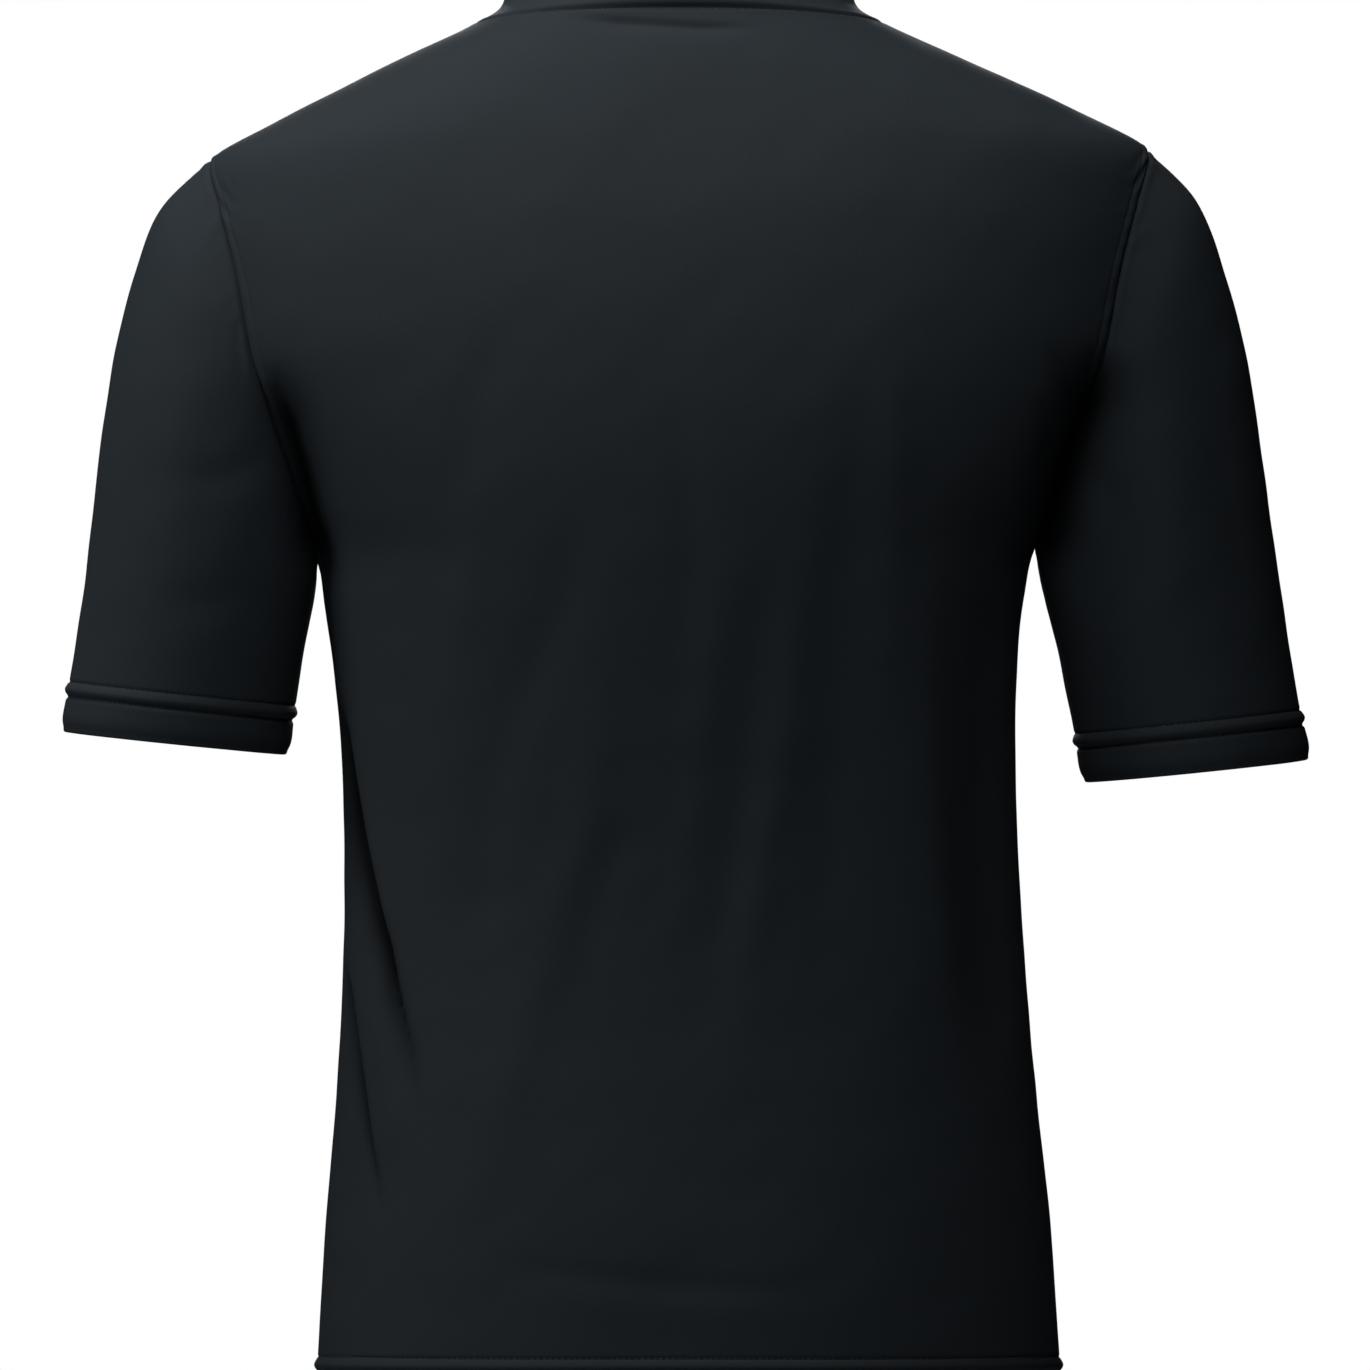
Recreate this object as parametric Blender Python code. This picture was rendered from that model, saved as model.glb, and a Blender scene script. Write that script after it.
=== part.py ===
"""A short-sleeved training shirt, empty, but filled out as it is when worn.

The wearer faces -Y, +X is the wearer's left and +Z is up. The origin is the middle of the neck
opening, level with the neck seam. Every cut piece is a grid of points on the cloth's outer face:
rows run up the body or along the sleeve, and columns run across it. Two pieces that are sewn
together are worked out from the same seam points, and each then stops a little short of the seam.
"""

import math
from collections import defaultdict, namedtuple

import bpy
from mathutils import Vector

# ---- Driving sizes, in metres ----------------------------------------------------------------
SEAM_GAP = 0.0003  # between two pieces along their seam
MOST_MITRE = 1.6  # two walls that meet at a sharper crease than this allows open towards the inside

HEM_Z = -0.719  # height of the body's hem
UNDERARM_Z = -0.2735  # lowest point of the armhole
SHOULDER_Z = -0.0671  # shoulder point, the top of the armhole
ARMHOLE_BOW = 0.064  # how far the armhole bows back, and forward, of the shoulder point
FRONT_NECK_DROP = 0.088  # of the neck seam at the middle of the front
BACK_NECK_RISE = 0.003  # of the neck seam at the middle of the back
BACK_HEM_RISE = 0.013  # the seat carries the middle of the back hem up
NECK_AXIS_Y = -0.008  # the neck band leans towards this upright line
SLEEVE_SWING = 0.012  # the cuffs hang this far forward of the shoulder points

SQUARENESS = 2.4  # power of the body's sections: 2 is an ellipse, more is squarer
NECK_CURVE = (2.2, 2.4)  # powers of the front neckline, down and across

# ---- Tables: one row for each section ---------------------------------------------------------
# The body's half width, as wide as it would be if its sides ran on over the armholes.
Girth = namedtuple("Girth", "z half")
GIRTH = [
    Girth(0.010, 0.084),
    Girth(0.000, 0.107),
    Girth(-0.018, 0.1465),
    Girth(-0.034, 0.1800),
    Girth(-0.050, 0.2125),
    Girth(SHOULDER_Z, 0.243),
    Girth(-0.095, 0.2535),
    Girth(-0.127, 0.2545),
    Girth(-0.168, 0.2485),
    Girth(-0.195, 0.2362),
    Girth(-0.220, 0.2218),
    Girth(-0.249, 0.2032),
    Girth(UNDERARM_Z, 0.1868),
    Girth(-0.298, 0.1815),
    Girth(-0.330, 0.1778),
    Girth(-0.376, 0.1752),
    Girth(-0.423, 0.1748),
    Girth(-0.517, 0.1787),
    Girth(-0.610, 0.187),
    Girth(HEM_Z, 0.1945),
]
# The middle of the back and of the front, seen from the side.
Profile = namedtuple("Profile", "z back front")
PROFILE = [
    Profile(0.010, 0.058, -0.053),
    Profile(0.000, 0.062, -0.058),
    Profile(-0.030, 0.082, -0.070),
    Profile(SHOULDER_Z, 0.100, -0.086),
    Profile(-0.110, 0.115, -0.103),
    Profile(-0.160, 0.124, -0.117),
    Profile(-0.215, 0.127, -0.126),
    Profile(UNDERARM_Z, 0.122, -0.127),
    Profile(-0.345, 0.111, -0.120),
    Profile(-0.423, 0.103, -0.115),
    Profile(-0.490, 0.103, -0.113),
    Profile(-0.560, 0.109, -0.113),
    Profile(-0.640, 0.117, -0.114),
    Profile(HEM_Z, 0.121, -0.114),
]
# The stance: sideways sway, and how far the left edge hangs below the right one.
Stance = namedtuple("Stance", "z sway tilt")
STANCE = [
    Stance(0.000, 0.0000, 0.0000),
    Stance(SHOULDER_Z, 0.0000, 0.0026),
    Stance(-0.230, 0.0002, 0.0031),
    Stance(-0.300, 0.0022, 0.0024),
    Stance(-0.376, 0.0005, 0.0000),
    Stance(-0.470, -0.0022, 0.0000),
    Stance(-0.610, -0.0045, 0.0000),
    Stance(HEM_Z, -0.0050, 0.0000),
]
# A sleeve's rings: its outer and its under line seen from behind, and its half depth.
Ring = namedtuple("Ring", "along outer_x outer_z under_x under_z depth")
SLEEVE = [
    Ring(0.00, 0.2430, SHOULDER_Z, 0.1868, UNDERARM_Z, ARMHOLE_BOW),
    Ring(0.12, 0.2685, -0.0925, 0.1874, -0.2790, 0.0655),
    Ring(0.24, 0.2825, -0.1270, 0.1882, -0.2870, 0.0655),
    Ring(0.38, 0.2935, -0.1680, 0.1900, -0.2975, 0.0650),
    Ring(0.50, 0.2990, -0.2050, 0.1925, -0.3090, 0.0640),
    Ring(0.64, 0.3045, -0.2490, 0.1955, -0.3240, 0.0625),
    Ring(0.82, 0.3125, -0.3080, 0.1998, -0.3500, 0.0600),
    Ring(1.00, 0.3220, -0.3675, 0.2045, -0.3800, 0.0580),
]
# How much further each sleeve reaches at its hem: outwards, and down.
REACH = {"left": (0.0, 0.0), "right": (0.0070, 0.0145)}
# The neck band's cross-section at the shoulders, the back and the front: inwards, and up.
Band = namedtuple("Band", "part side_in side_up back_in back_up front_in front_up")
BAND = [
    Band(0.00, 0.0000, 0.0000, 0.0000, 0.0000, 0.0000, 0.0000),
    Band(0.35, 0.0080, 0.0040, 0.0010, 0.0065, 0.0028, 0.0062),
    Band(0.60, 0.0130, 0.0074, 0.0024, 0.0115, 0.0055, 0.0108),
    Band(0.80, 0.0160, 0.0115, 0.0040, 0.0160, 0.0082, 0.0145),
    Band(1.00, 0.0178, 0.0180, 0.0058, 0.0205, 0.0112, 0.0178),
]
# The largest folds: soft troughs in the body, from one point to another, seen from behind.
Fold = namedtuple("Fold", "side x0 z0 x1 z1 depth width")
FOLDS = [
    Fold("back", 0.172, -0.400, 0.132, -0.572, 0.0055, 0.016),
    Fold("back", 0.174, -0.500, 0.152, -0.620, 0.0040, 0.014),
    Fold("back", 0.060, -0.290, 0.092, -0.560, 0.0030, 0.022),
    Fold("back", -0.032, -0.290, -0.022, -0.560, 0.0030, 0.020),
    Fold("front", -0.150, -0.420, -0.090, -0.610, 0.0040, 0.020),
    Fold("front", 0.070, -0.300, 0.095, -0.600, 0.0030, 0.022),
]

# The cloth of a panel, and of the neck band, which is folded double.
Look = namedtuple("Look", "thickness colour roughness")
LOOKS = {
    "panel": Look(0.0015, (0.012, 0.014, 0.016), 0.72),
    "collar": Look(0.0026, (0.014, 0.015, 0.017), 0.75),
}

# ---- Grid sizes -------------------------------------------------------------------------------
COLUMNS = 22  # across a body panel
SIDE_ROWS = 16  # from the hem to the underarm
ARMHOLE_ROWS = 10  # from the underarm to the shoulder point, on each side of a sleeve
SHOULDER_ROWS = 6  # from the shoulder point to the neck point
SLEEVE_ROWS = 12
BAND_ROWS = 4
ROW_FAN = 0.033  # how far the rows fan out around the armhole
FAN_POWER = 5  # how near to its ends a row keeps the height of its middle


def smooth(rows, key, column, at):
    """A table's column at a place between its rows, on a smooth curve through them."""
    rows = sorted(rows, key=lambda row: getattr(row, key))
    x = [getattr(row, key) for row in rows]
    y = [getattr(row, column) for row in rows]
    at = min(max(at, x[0]), x[-1])
    i = max(k for k in range(len(x) - 1) if x[k] <= at)

    def slope(k):
        low, high = max(k - 1, 0), min(k + 1, len(x) - 1)
        return (y[high] - y[low]) / (x[high] - x[low])

    step = x[i + 1] - x[i]
    t = (at - x[i]) / step
    return (
        y[i] * (1 + 2 * t) * (1 - t) ** 2
        + slope(i) * step * t * (1 - t) ** 2
        + y[i + 1] * t * t * (3 - 2 * t)
        - slope(i + 1) * step * t * t * (1 - t)
    )


def body(column, z):
    """One column of the body's tables at a height."""
    table = {"half": GIRTH, "back": PROFILE, "front": PROFILE, "sway": STANCE, "tilt": STANCE}
    return smooth(table[column], "z", column, z)


def armhole_depth(z):
    """How far behind, and before, the shoulder point the armhole runs at a height."""
    share = (SHOULDER_Z - z) / (SHOULDER_Z - UNDERARM_Z)
    return ARMHOLE_BOW * math.sin(math.acos(1 - 2 * min(max(share, 0), 1)))


def across(side, s, height):
    """Where column s (-1 to 1) lies across the row from this height of the edge, as a share of the
    body's half width."""
    end = (1 - (armhole_depth(height) / body(side, height)) ** 2) ** (1 / SQUARENESS)
    return math.sin(s * math.asin(end))


def fold(side, x, z):
    """How far the folds press the cloth in at a point."""
    depth = 0
    for f in FOLDS:
        if f.side != side:
            continue
        start, end = Vector((f.x0, f.z0)), Vector((f.x1, f.z1))
        here, run = Vector((x, z)) - start, end - start
        t = min(max(here.dot(run) / run.length_squared, 0), 1)
        away = (here - run * t).length
        depth += f.depth * math.sin(math.pi * (0.1 + 0.8 * t)) * math.exp(-((away / f.width) ** 2))
    return depth


def on_body(side, s, height, z):
    """A point of the front or back panel, at z.

    It lies in column s (-1 at the right edge, 1 at the left) of the row that meets the panel's edge
    at the height.
    """
    share = across(side, s, height)
    rise = max(1 - abs(share) ** SQUARENESS, 0) ** 0.5
    point = Vector((body("half", z) * share, body(side, z) * rise, 0))
    if abs(s) < 1:
        point -= point.normalized() * fold(side, point.x, z)
    point.x += body("sway", z)
    point.z = z - body("tilt", z) * share
    return point


def front_neck_height(s):
    """The height at which column s of the front panel meets the neckline."""
    low, high = -FRONT_NECK_DROP, 0.0
    down, wide = NECK_CURVE
    for _ in range(40):
        z = (low + high) / 2
        neckline = body("half", 0) * (1 - (-z / FRONT_NECK_DROP) ** down) ** (1 / wide)
        inside = body("half", z) * abs(across("front", s, 0)) < neckline
        low, high = (low, z) if inside else (z, high)
    return high if abs(s) < 1 else 0.0


def panel_rows():
    """(height of its ends, height of its middle) for each row of a panel, from the hem to the neck.

    The rows fan out around the armhole: the middle of the underarm's row hangs below its ends, and
    the middle of the shoulder point's row stands above them.
    """
    low, high = UNDERARM_Z - ROW_FAN, SHOULDER_Z + ROW_FAN
    rows = []
    for i in range(SIDE_ROWS):
        up = i / SIDE_ROWS
        rows.append((HEM_Z + (UNDERARM_Z - HEM_Z) * up, HEM_Z + (low - HEM_Z) * up))
    for i in range(ARMHOLE_ROWS):
        up = i / ARMHOLE_ROWS
        share = (1 + math.cos(math.pi * up)) / 2
        rows.append((SHOULDER_Z - (SHOULDER_Z - UNDERARM_Z) * share, low + (high - low) * up))
    for i in range(SHOULDER_ROWS + 1):
        left = 1 - i / SHOULDER_ROWS
        rows.append((SHOULDER_Z * left, high * left))
    return rows


def body_panel(side):
    """Rows from the hem to the neck, with columns in the order that faces the cloth outwards."""
    columns = [1 - 2 * i / COLUMNS for i in range(COLUMNS + 1)]
    if side == "front":
        columns.reverse()
    grid = []
    for edge, middle in panel_rows():
        row = []
        for s in columns:
            top = front_neck_height(s) if side == "front" else BACK_NECK_RISE * (1 - s * s)
            bottom = HEM_Z + (BACK_HEM_RISE * (1 - s * s) if side == "back" else 0)
            height = edge + (middle - edge) * (1 - abs(s) ** FAN_POWER)
            row.append(on_body(side, s, edge, bottom + (top - bottom) * (1 - height / HEM_Z)))
        grid.append(row)
    return grid


def armhole_ring(s, back, front):
    """(turn, side, point) round one armhole: from the underarm up the back and down the front."""
    start = SIDE_ROWS
    end = SIDE_ROWS + ARMHOLE_ROWS
    back_edge = [row[0 if s > 0 else -1] for row in back[start : end + 1]]
    front_edge = [row[-1 if s > 0 else 0] for row in front[start:end]]
    turns = [math.pi * (1 - i / ARMHOLE_ROWS) for i in range(ARMHOLE_ROWS + 1)]
    up = [(turn, 1, point) for turn, point in zip(turns, back_edge)]
    down = [(turn, -1, point) for turn, point in zip(turns, front_edge)]
    return up + down[:0:-1]


def sleeve(hand, back, front):
    """Rings from the armhole to the cuff, with the same points round each of them."""
    s = 1 if hand == "left" else -1
    ring = armhole_ring(s, back, front)
    if hand == "right":
        ring = ring[:1] + ring[:0:-1]  # turned round, so that the cloth faces outwards

    def at_ring(column, along):
        return smooth(SLEEVE, "along", column, along)

    def loop(along):
        outer, under = (
            Vector((s * at_ring(f"{line}_x", along), 0, at_ring(f"{line}_z", along)))
            for line in ("outer", "under")
        )
        more_out, more_down = REACH[hand]
        shift = Vector((s * more_out * along**2, -SLEEVE_SWING * along**1.5, -more_down * along**2))
        side = Vector((0, at_ring("depth", along), 0))
        middle, reach = (outer + under) / 2 + shift, (outer - under) / 2
        return [middle + reach * math.cos(a) + side * way * math.sin(a) for a, way, _ in ring]

    plain = loop(0)
    grid = [[seam for _, _, seam in ring]]
    for i in range(1, SLEEVE_ROWS + 1):
        along = i / SLEEVE_ROWS
        keep = (1 - along) ** 2  # how much of the armhole's own shape is left
        grid.append([p + (seam - q) * keep for p, q, (_, _, seam) in zip(loop(along), plain, ring)])
    return grid


def neck_band(back, front):
    """Rings from the neck seam to the folded top edge."""
    seam = back[-1] + front[-1][1:-1]  # from the left neck point, round the back and the front
    grid = []
    for i in range(BAND_ROWS + 1):
        part = i / BAND_ROWS
        row = []
        for p in seam:
            inward = Vector((-p.x, NECK_AXIS_Y - p.y, 0)).normalized()
            facing = -inward.y  # 1 at the back, -1 at the front
            weights = {"side": 1 - facing**2, "back": max(facing, 0) ** 2, "front": max(-facing, 0) ** 2}
            lean, rise = (
                sum(w * smooth(BAND, "part", f"{name}_{way}", part) for name, w in weights.items())
                for way in ("in", "up")
            )
            row.append(p + inward * lean + Vector((0, 0, rise)))
        grid.append(row)
    return grid


# ---- From grids to walls ------------------------------------------------------------------------
def faces_of(grid, ring):
    """The (row, column) corners of each quad, in the order that faces it outwards."""
    rows, columns = len(grid), len(grid[0])
    last = columns if ring else columns - 1
    return [
        ((r, c), (r, (c + 1) % columns), (r + 1, (c + 1) % columns), (r + 1, c))
        for r in range(rows - 1)
        for c in range(last)
    ]


def own_normals(grid, ring):
    """At each point, the faces' normals, each counted by the angle that its corner takes up."""
    found = defaultdict(Vector)
    for face in faces_of(grid, ring):
        corners = [grid[r][c] for r, c in face]
        for k, key in enumerate(face):
            ahead = corners[(k + 1) % 4] - corners[k]
            behind = corners[k - 1] - corners[k]
            found[key] += ahead.cross(behind).normalized() * ahead.angle(behind)
    return found


def place(point):
    """A key that two pieces share where their seam points are the same."""
    return tuple(round(x, 6) for x in point)


def normals_at(pieces):
    """The direction that the cloth faces at each point of some pieces, one for all that meet there."""
    total = defaultdict(Vector)
    for grid, ring, _ in pieces:
        for (r, c), normal in own_normals(grid, ring).items():
            total[place(grid[r][c])] += normal
    return {key: normal.normalized() for key, normal in total.items()}


def drawn_back(grid, ring, seams):
    """The grid with each sewn edge moved into the piece by half of the gap."""
    rows, columns = len(grid), len(grid[0])
    normals = own_normals(grid, ring)
    moved = [list(row) for row in grid]
    for r in range(rows):
        for c in range(columns):
            here = grid[r][c]
            along = []  # a neighbour on a sewn edge, and a point further into the piece
            if (r == 0 and "bottom" in seams) or (r == rows - 1 and "top" in seams):
                near = [(c - 1) % columns, (c + 1) % columns] if ring else [c - 1, c + 1]
                inner = grid[1 if r == 0 else r - 1][c]
                along += [(grid[r][k], inner) for k in near if 0 <= k < columns]
            if "sides" in seams and c in (0, columns - 1):
                inner = grid[r][1 if c == 0 else c - 1]
                along += [(grid[k][c], inner) for k in (r - 1, r + 1) if 0 <= k < rows]
            ways = []
            for neighbour, inner in along:
                into = normals[r, c].cross(neighbour - here).normalized()
                ways.append(into if into.dot(inner - here) > 0 else -into)
            if ways:
                first, last = ways[0], ways[-1]
                moved[r][c] = here + (first + last) / (1 + first.dot(last)) * SEAM_GAP / 2
    return moved


def wall(name, grid, ring, seams, thickness, tube, every, material):
    """A closed wall: its outer face is the grid, and its inner face lies a thickness inside.

    The normals of its tube are those of the pieces that it runs on into smoothly. Where the tube
    is sewn to another one, the normals of every piece lie between the two, and mitre the walls.
    """
    rows, columns = len(grid), len(grid[0])
    outer = drawn_back(grid, ring, seams)
    points, index = [], {}
    for r in range(rows):
        for c in range(columns):
            index[r, c] = len(points) // 2
            key = place(grid[r][c])
            square = max(every[key].dot(tube[key]), 0.01)
            mitre = tube[key] + (every[key] - tube[key] * square) * min(1 / square, MOST_MITRE)
            points += [outer[r][c], outer[r][c] - mitre * thickness]
    faces = []
    for face in faces_of(grid, ring):
        a, b, c, d = face
        first, second = (grid[p[0]][p[1]] - grid[q[0]][q[1]] for p, q in ((a, c), (b, d)))
        halves = [(a, b, c), (a, c, d)] if first.length < second.length else [(a, b, d), (b, c, d)]
        for half in halves:
            skin = [2 * index[corner] for corner in half]
            faces += [skin, [k + 1 for k in reversed(skin)]]
    uses = defaultdict(int)
    for face in faces_of(grid, ring):
        for a, b in zip(face, face[1:] + face[:1]):
            uses[a, b] += 1
    for a, b in uses:
        if (b, a) not in uses:
            faces.append([2 * index[b], 2 * index[a], 2 * index[a] + 1, 2 * index[b] + 1])
    mesh = bpy.data.meshes.new(name)
    mesh.from_pydata(points, [], faces)
    mesh.materials.append(material)
    mesh.shade_smooth()
    mesh.set_sharp_from_angle(angle=math.radians(50))
    piece = bpy.data.objects.new(name, mesh)
    bpy.context.collection.objects.link(piece)


def cloth_material(name, colour, roughness):
    material = bpy.data.materials.new(name)
    material.use_nodes = True
    shader = material.node_tree.nodes["Principled BSDF"]
    shader.inputs["Base Color"].default_value = (*colour, 1)
    shader.inputs["Roughness"].default_value = roughness
    shader.inputs["Metallic"].default_value = 0
    return material


def build():
    for old in list(bpy.data.objects):
        bpy.data.objects.remove(old)
    back, front = body_panel("back"), body_panel("front")
    pieces = {  # name: grid, whether its rows close into rings, its sewn edges
        "back": (back, False, ("sides", "top")),
        "front": (front, False, ("sides", "top")),
        "sleeve_left": (sleeve("left", back, front), True, ("bottom",)),
        "sleeve_right": (sleeve("right", back, front), True, ("bottom",)),
        "collar": (neck_band(back, front), True, ("bottom",)),
    }
    tubes = [("back", "front"), ("sleeve_left",), ("sleeve_right",), ("collar",)]
    every = normals_at(pieces.values())
    for names in tubes:
        tube = normals_at([pieces[name] for name in names])
        for name in names:
            look = LOOKS.get(name, LOOKS["panel"])
            material = cloth_material(f"{name}_cloth", look.colour, look.roughness)
            wall(name, *pieces[name], look.thickness, tube, every, material)


build()
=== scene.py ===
# %% [markdown]
# # A black training shirt, seen from behind
#
# The shirt is empty but filled out, as if somebody wore it. Its five cut pieces are already packed as
# plain solids: a back, a front, two sleeves and a neck band. Everything below is built in the same
# frame, in metres: the wearer faces -Y, +X is the wearer's left and +Z is up, and the origin is the
# middle of the neck opening.

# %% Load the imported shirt
import math

import bpy
import numpy as np
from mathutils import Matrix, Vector
from mathutils.bvhtree import BVHTree


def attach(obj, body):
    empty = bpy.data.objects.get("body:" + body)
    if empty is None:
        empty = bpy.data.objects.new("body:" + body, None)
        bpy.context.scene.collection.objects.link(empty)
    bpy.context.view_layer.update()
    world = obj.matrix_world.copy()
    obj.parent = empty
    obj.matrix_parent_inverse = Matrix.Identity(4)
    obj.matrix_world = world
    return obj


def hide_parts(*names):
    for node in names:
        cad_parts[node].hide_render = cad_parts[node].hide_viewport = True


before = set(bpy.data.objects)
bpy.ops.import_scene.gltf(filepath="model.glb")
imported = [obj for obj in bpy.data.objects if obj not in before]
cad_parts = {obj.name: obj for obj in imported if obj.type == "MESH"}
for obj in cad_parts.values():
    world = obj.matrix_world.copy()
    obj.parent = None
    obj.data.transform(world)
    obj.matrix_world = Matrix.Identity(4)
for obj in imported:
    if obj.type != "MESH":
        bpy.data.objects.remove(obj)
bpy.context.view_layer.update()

print("packed pieces:", sorted(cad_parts))

# %% [markdown]
# ## The camera
#
# A shirt like this is usually shown straight on, from a few metres away with a long lens, so that its
# outline is hardly bent by perspective. The camera stands behind the wearer, level with the middle of
# the back. A lens length follows from how much of the scene has to fit across the sensor.

# %% Camera
MM = 0.001
CAMERA_AT = Vector((-3.1, 3000.0, -342.7)) * MM
VIEW_ACROSS = 712.4 * MM  # what the frame takes in, at the middle of the shirt
SENSOR = 36.0

camera = bpy.data.objects.new("camera", bpy.data.cameras.new("camera"))
bpy.context.scene.collection.objects.link(camera)
camera.location = CAMERA_AT
camera.rotation_euler = (math.radians(90), 0, math.radians(180))
camera.data.sensor_width = SENSOR
camera.data.lens = SENSOR * CAMERA_AT.y / VIEW_ACROSS
bpy.context.scene.camera = camera
print("lens in mm:", round(camera.data.lens, 1))

# %% [markdown]
# ## Light, floor and backdrop
#
# Black cloth shows its shape only through the way light falls off across it. The key light stands low
# on the wearer's left, a nearer one lights the upper back from behind, and a third hangs over the left
# shoulder, so the wearer's right side stays almost dark. The chest gets a light of its own, for looks
# from the front. Every light is placed like a lamp on a boom: turned round the shirt, raised, and so
# far away. All are wide, because a wide light makes soft shadows.

# %% Studio
FLOOR_Z = -1.9
FLOOR_RADIUS = 1.6
FLOOR_SIDES = 96
AIM = Vector((0.0, 0.0, -0.34))  # the middle of the shirt, which every light points at
LIGHTS = {  # turned from the camera's side to the wearer's left, height angle, metres away, watts, size
    "key_light": (70, 30, 2.4, 28, 1.0),
    "back_light": (6, 48, 1.7, 13.5, 0.8),
    "high_light": (90, 78, 3.0, 52, 1.3),
    "chest_light": (180, 20, 3.0, 45, 1.3),
}

for name, (turned, raised, away, power, size) in LIGHTS.items():
    light = bpy.data.objects.new(name, bpy.data.lights.new(name, "AREA"))
    bpy.context.scene.collection.objects.link(light)
    light.data.energy = power
    light.data.size = size
    turned, raised = math.radians(turned), math.radians(raised)
    way = Vector((math.sin(turned) * math.cos(raised), math.cos(turned) * math.cos(raised), math.sin(raised)))
    light.location = AIM + way * away
    light.rotation_euler = (-way).to_track_quat("-Z", "Y").to_euler()

floor_mesh = bpy.data.meshes.new("studio_floor")
turn = np.linspace(0, 2 * math.pi, FLOOR_SIDES, endpoint=False)
ring = [(FLOOR_RADIUS * math.cos(a), FLOOR_RADIUS * math.sin(a), FLOOR_Z) for a in turn]
floor_mesh.from_pydata(ring, [], [range(FLOOR_SIDES)])
floor = bpy.data.objects.new("studio_floor", floor_mesh)
bpy.context.scene.collection.objects.link(floor)
print("lights:", list(LIGHTS))

# %% [markdown]
# ## Node trees written as arithmetic
#
# A shader is a sum made of nodes, and it reads best when it is written as one. This class wraps a
# socket, so that `height * 0.5 + 1` adds the Math nodes that work it out. Python looks for
# `__rsub__` and its kin when the number comes first, as in `1 - height`.

# %% A socket that can be calculated with


class Value:
    """One output of a node, in a tree that grows as it is calculated with."""

    def __init__(self, tree, socket):
        self.tree, self.socket = tree, socket

    def math(self, operation, *others):
        inputs = dict(enumerate([self, *others]))
        return add_node(self.tree, "ShaderNodeMath", {"operation": operation}, inputs)

    def output(self, name):
        """Another output of the same node."""
        return Value(self.tree, self.socket.node.outputs[name])

    def __add__(self, other):
        return self.math("ADD", other)

    def __sub__(self, other):
        return self.math("SUBTRACT", other)

    def __mul__(self, other):
        return self.math("MULTIPLY", other)

    def __truediv__(self, other):
        return self.math("DIVIDE", other)

    def __radd__(self, other):
        return self + other

    def __rmul__(self, other):
        return self * other

    def __rsub__(self, other):
        return self * -1 + other

    def __abs__(self):
        return self.math("ABSOLUTE")

    def sine(self):
        return self.math("SINE")

    def fraction(self):
        return self.math("FRACT")


def add_node(tree, kind, settings, inputs, output=0):
    """Adds a node: its settings first, then the values or links of its sockets."""
    node = tree.nodes.new(kind)
    for name, value in settings.items():
        setattr(node, name, value)
    for name, value in inputs.items():
        if isinstance(value, Value):
            tree.links.new(value.socket, node.inputs[name])
        else:
            node.inputs[name].default_value = value
    return Value(tree, node.outputs[output]) if node.outputs else None


def mix_colour(tree, share, first, second):
    """A colour between two, because a Math node would turn a colour grey."""
    return add_node(tree, "ShaderNodeMix", {"data_type": "RGBA"}, {0: share, 6: first, 7: second}, 2)


def new_material(name):
    material = bpy.data.materials.new(name)
    material.use_nodes = True
    return material, material.node_tree, material.node_tree.nodes["Principled BSDF"]


print("socket arithmetic ready")

# %% [markdown]
# ## Backdrop and floor finish
#
# The world is white to the camera, as a paper backdrop is, but sends hardly any light, because a bright
# world would lift every shadow. The Light Path node tells the two apart. The floor is plain and pale,
# and small, so that it throws little light up into the folds.

# %% World and floor finish
world = bpy.data.worlds.new("studio")
bpy.context.scene.world = world
world.use_nodes = True
world_tree = world.node_tree
world_tree.nodes.clear()
white = (1, 1, 1, 1)
dim = add_node(world_tree, "ShaderNodeBackground", {}, {"Color": white, "Strength": 0.004})
bright = add_node(world_tree, "ShaderNodeBackground", {}, {"Color": white, "Strength": 1.0})
seen = add_node(world_tree, "ShaderNodeLightPath", {}, {}, "Is Camera Ray")
shown = add_node(world_tree, "ShaderNodeMixShader", {}, {0: seen, 1: dim, 2: bright})
add_node(world_tree, "ShaderNodeOutputWorld", {}, {"Surface": shown})

pale, _, pale_shader = new_material("pale_floor")
pale_shader.inputs["Base Color"].default_value = (0.85, 0.85, 0.85, 1)
pale_shader.inputs["Roughness"].default_value = 0.9
floor.data.materials.append(pale)
bpy.context.scene.view_settings.view_transform = "Standard"
print("world and floor ready")

# %% [markdown]
# ## The shirt's form
#
# The body is a tube whose sections are a little squarer than an ellipse. Two tables give it: how wide
# it is at each height, and how far its back and front stand from the middle. A smooth curve runs
# through each column. Above the underarm the width is the one it would have if the sides ran on over
# the armholes, and the armhole then cuts the sides off.

# %% Tables of the form, in millimetres
GIRTH = np.array([  # height, half width
    (-719.0, 194.5), (-610.0, 187.0), (-517.0, 178.7), (-423.0, 174.8), (-376.0, 175.2), (-330.0, 177.8),
    (-298.0, 181.5), (-273.5, 186.8), (-249.0, 203.2), (-220.0, 221.8), (-195.0, 236.2), (-168.0, 248.5),
    (-127.0, 254.5), (-95.0, 253.5), (-67.1, 243.0), (-50.0, 212.5), (-34.0, 180.0), (-18.0, 146.5),
    (0.0, 107.0), (10.0, 84.0),
])
PROFILE = np.array([  # height, back, front
    (-719.0, 121.0, -114.0), (-640.0, 117.0, -114.0), (-560.0, 109.0, -113.0), (-490.0, 103.0, -113.0),
    (-423.0, 103.0, -115.0), (-345.0, 111.0, -120.0), (-273.5, 122.0, -127.0), (-215.0, 127.0, -126.0),
    (-160.0, 124.0, -117.0), (-110.0, 115.0, -103.0), (-67.1, 100.0, -86.0), (-30.0, 82.0, -70.0),
    (0.0, 62.0, -58.0), (10.0, 58.0, -53.0),
])
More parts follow.
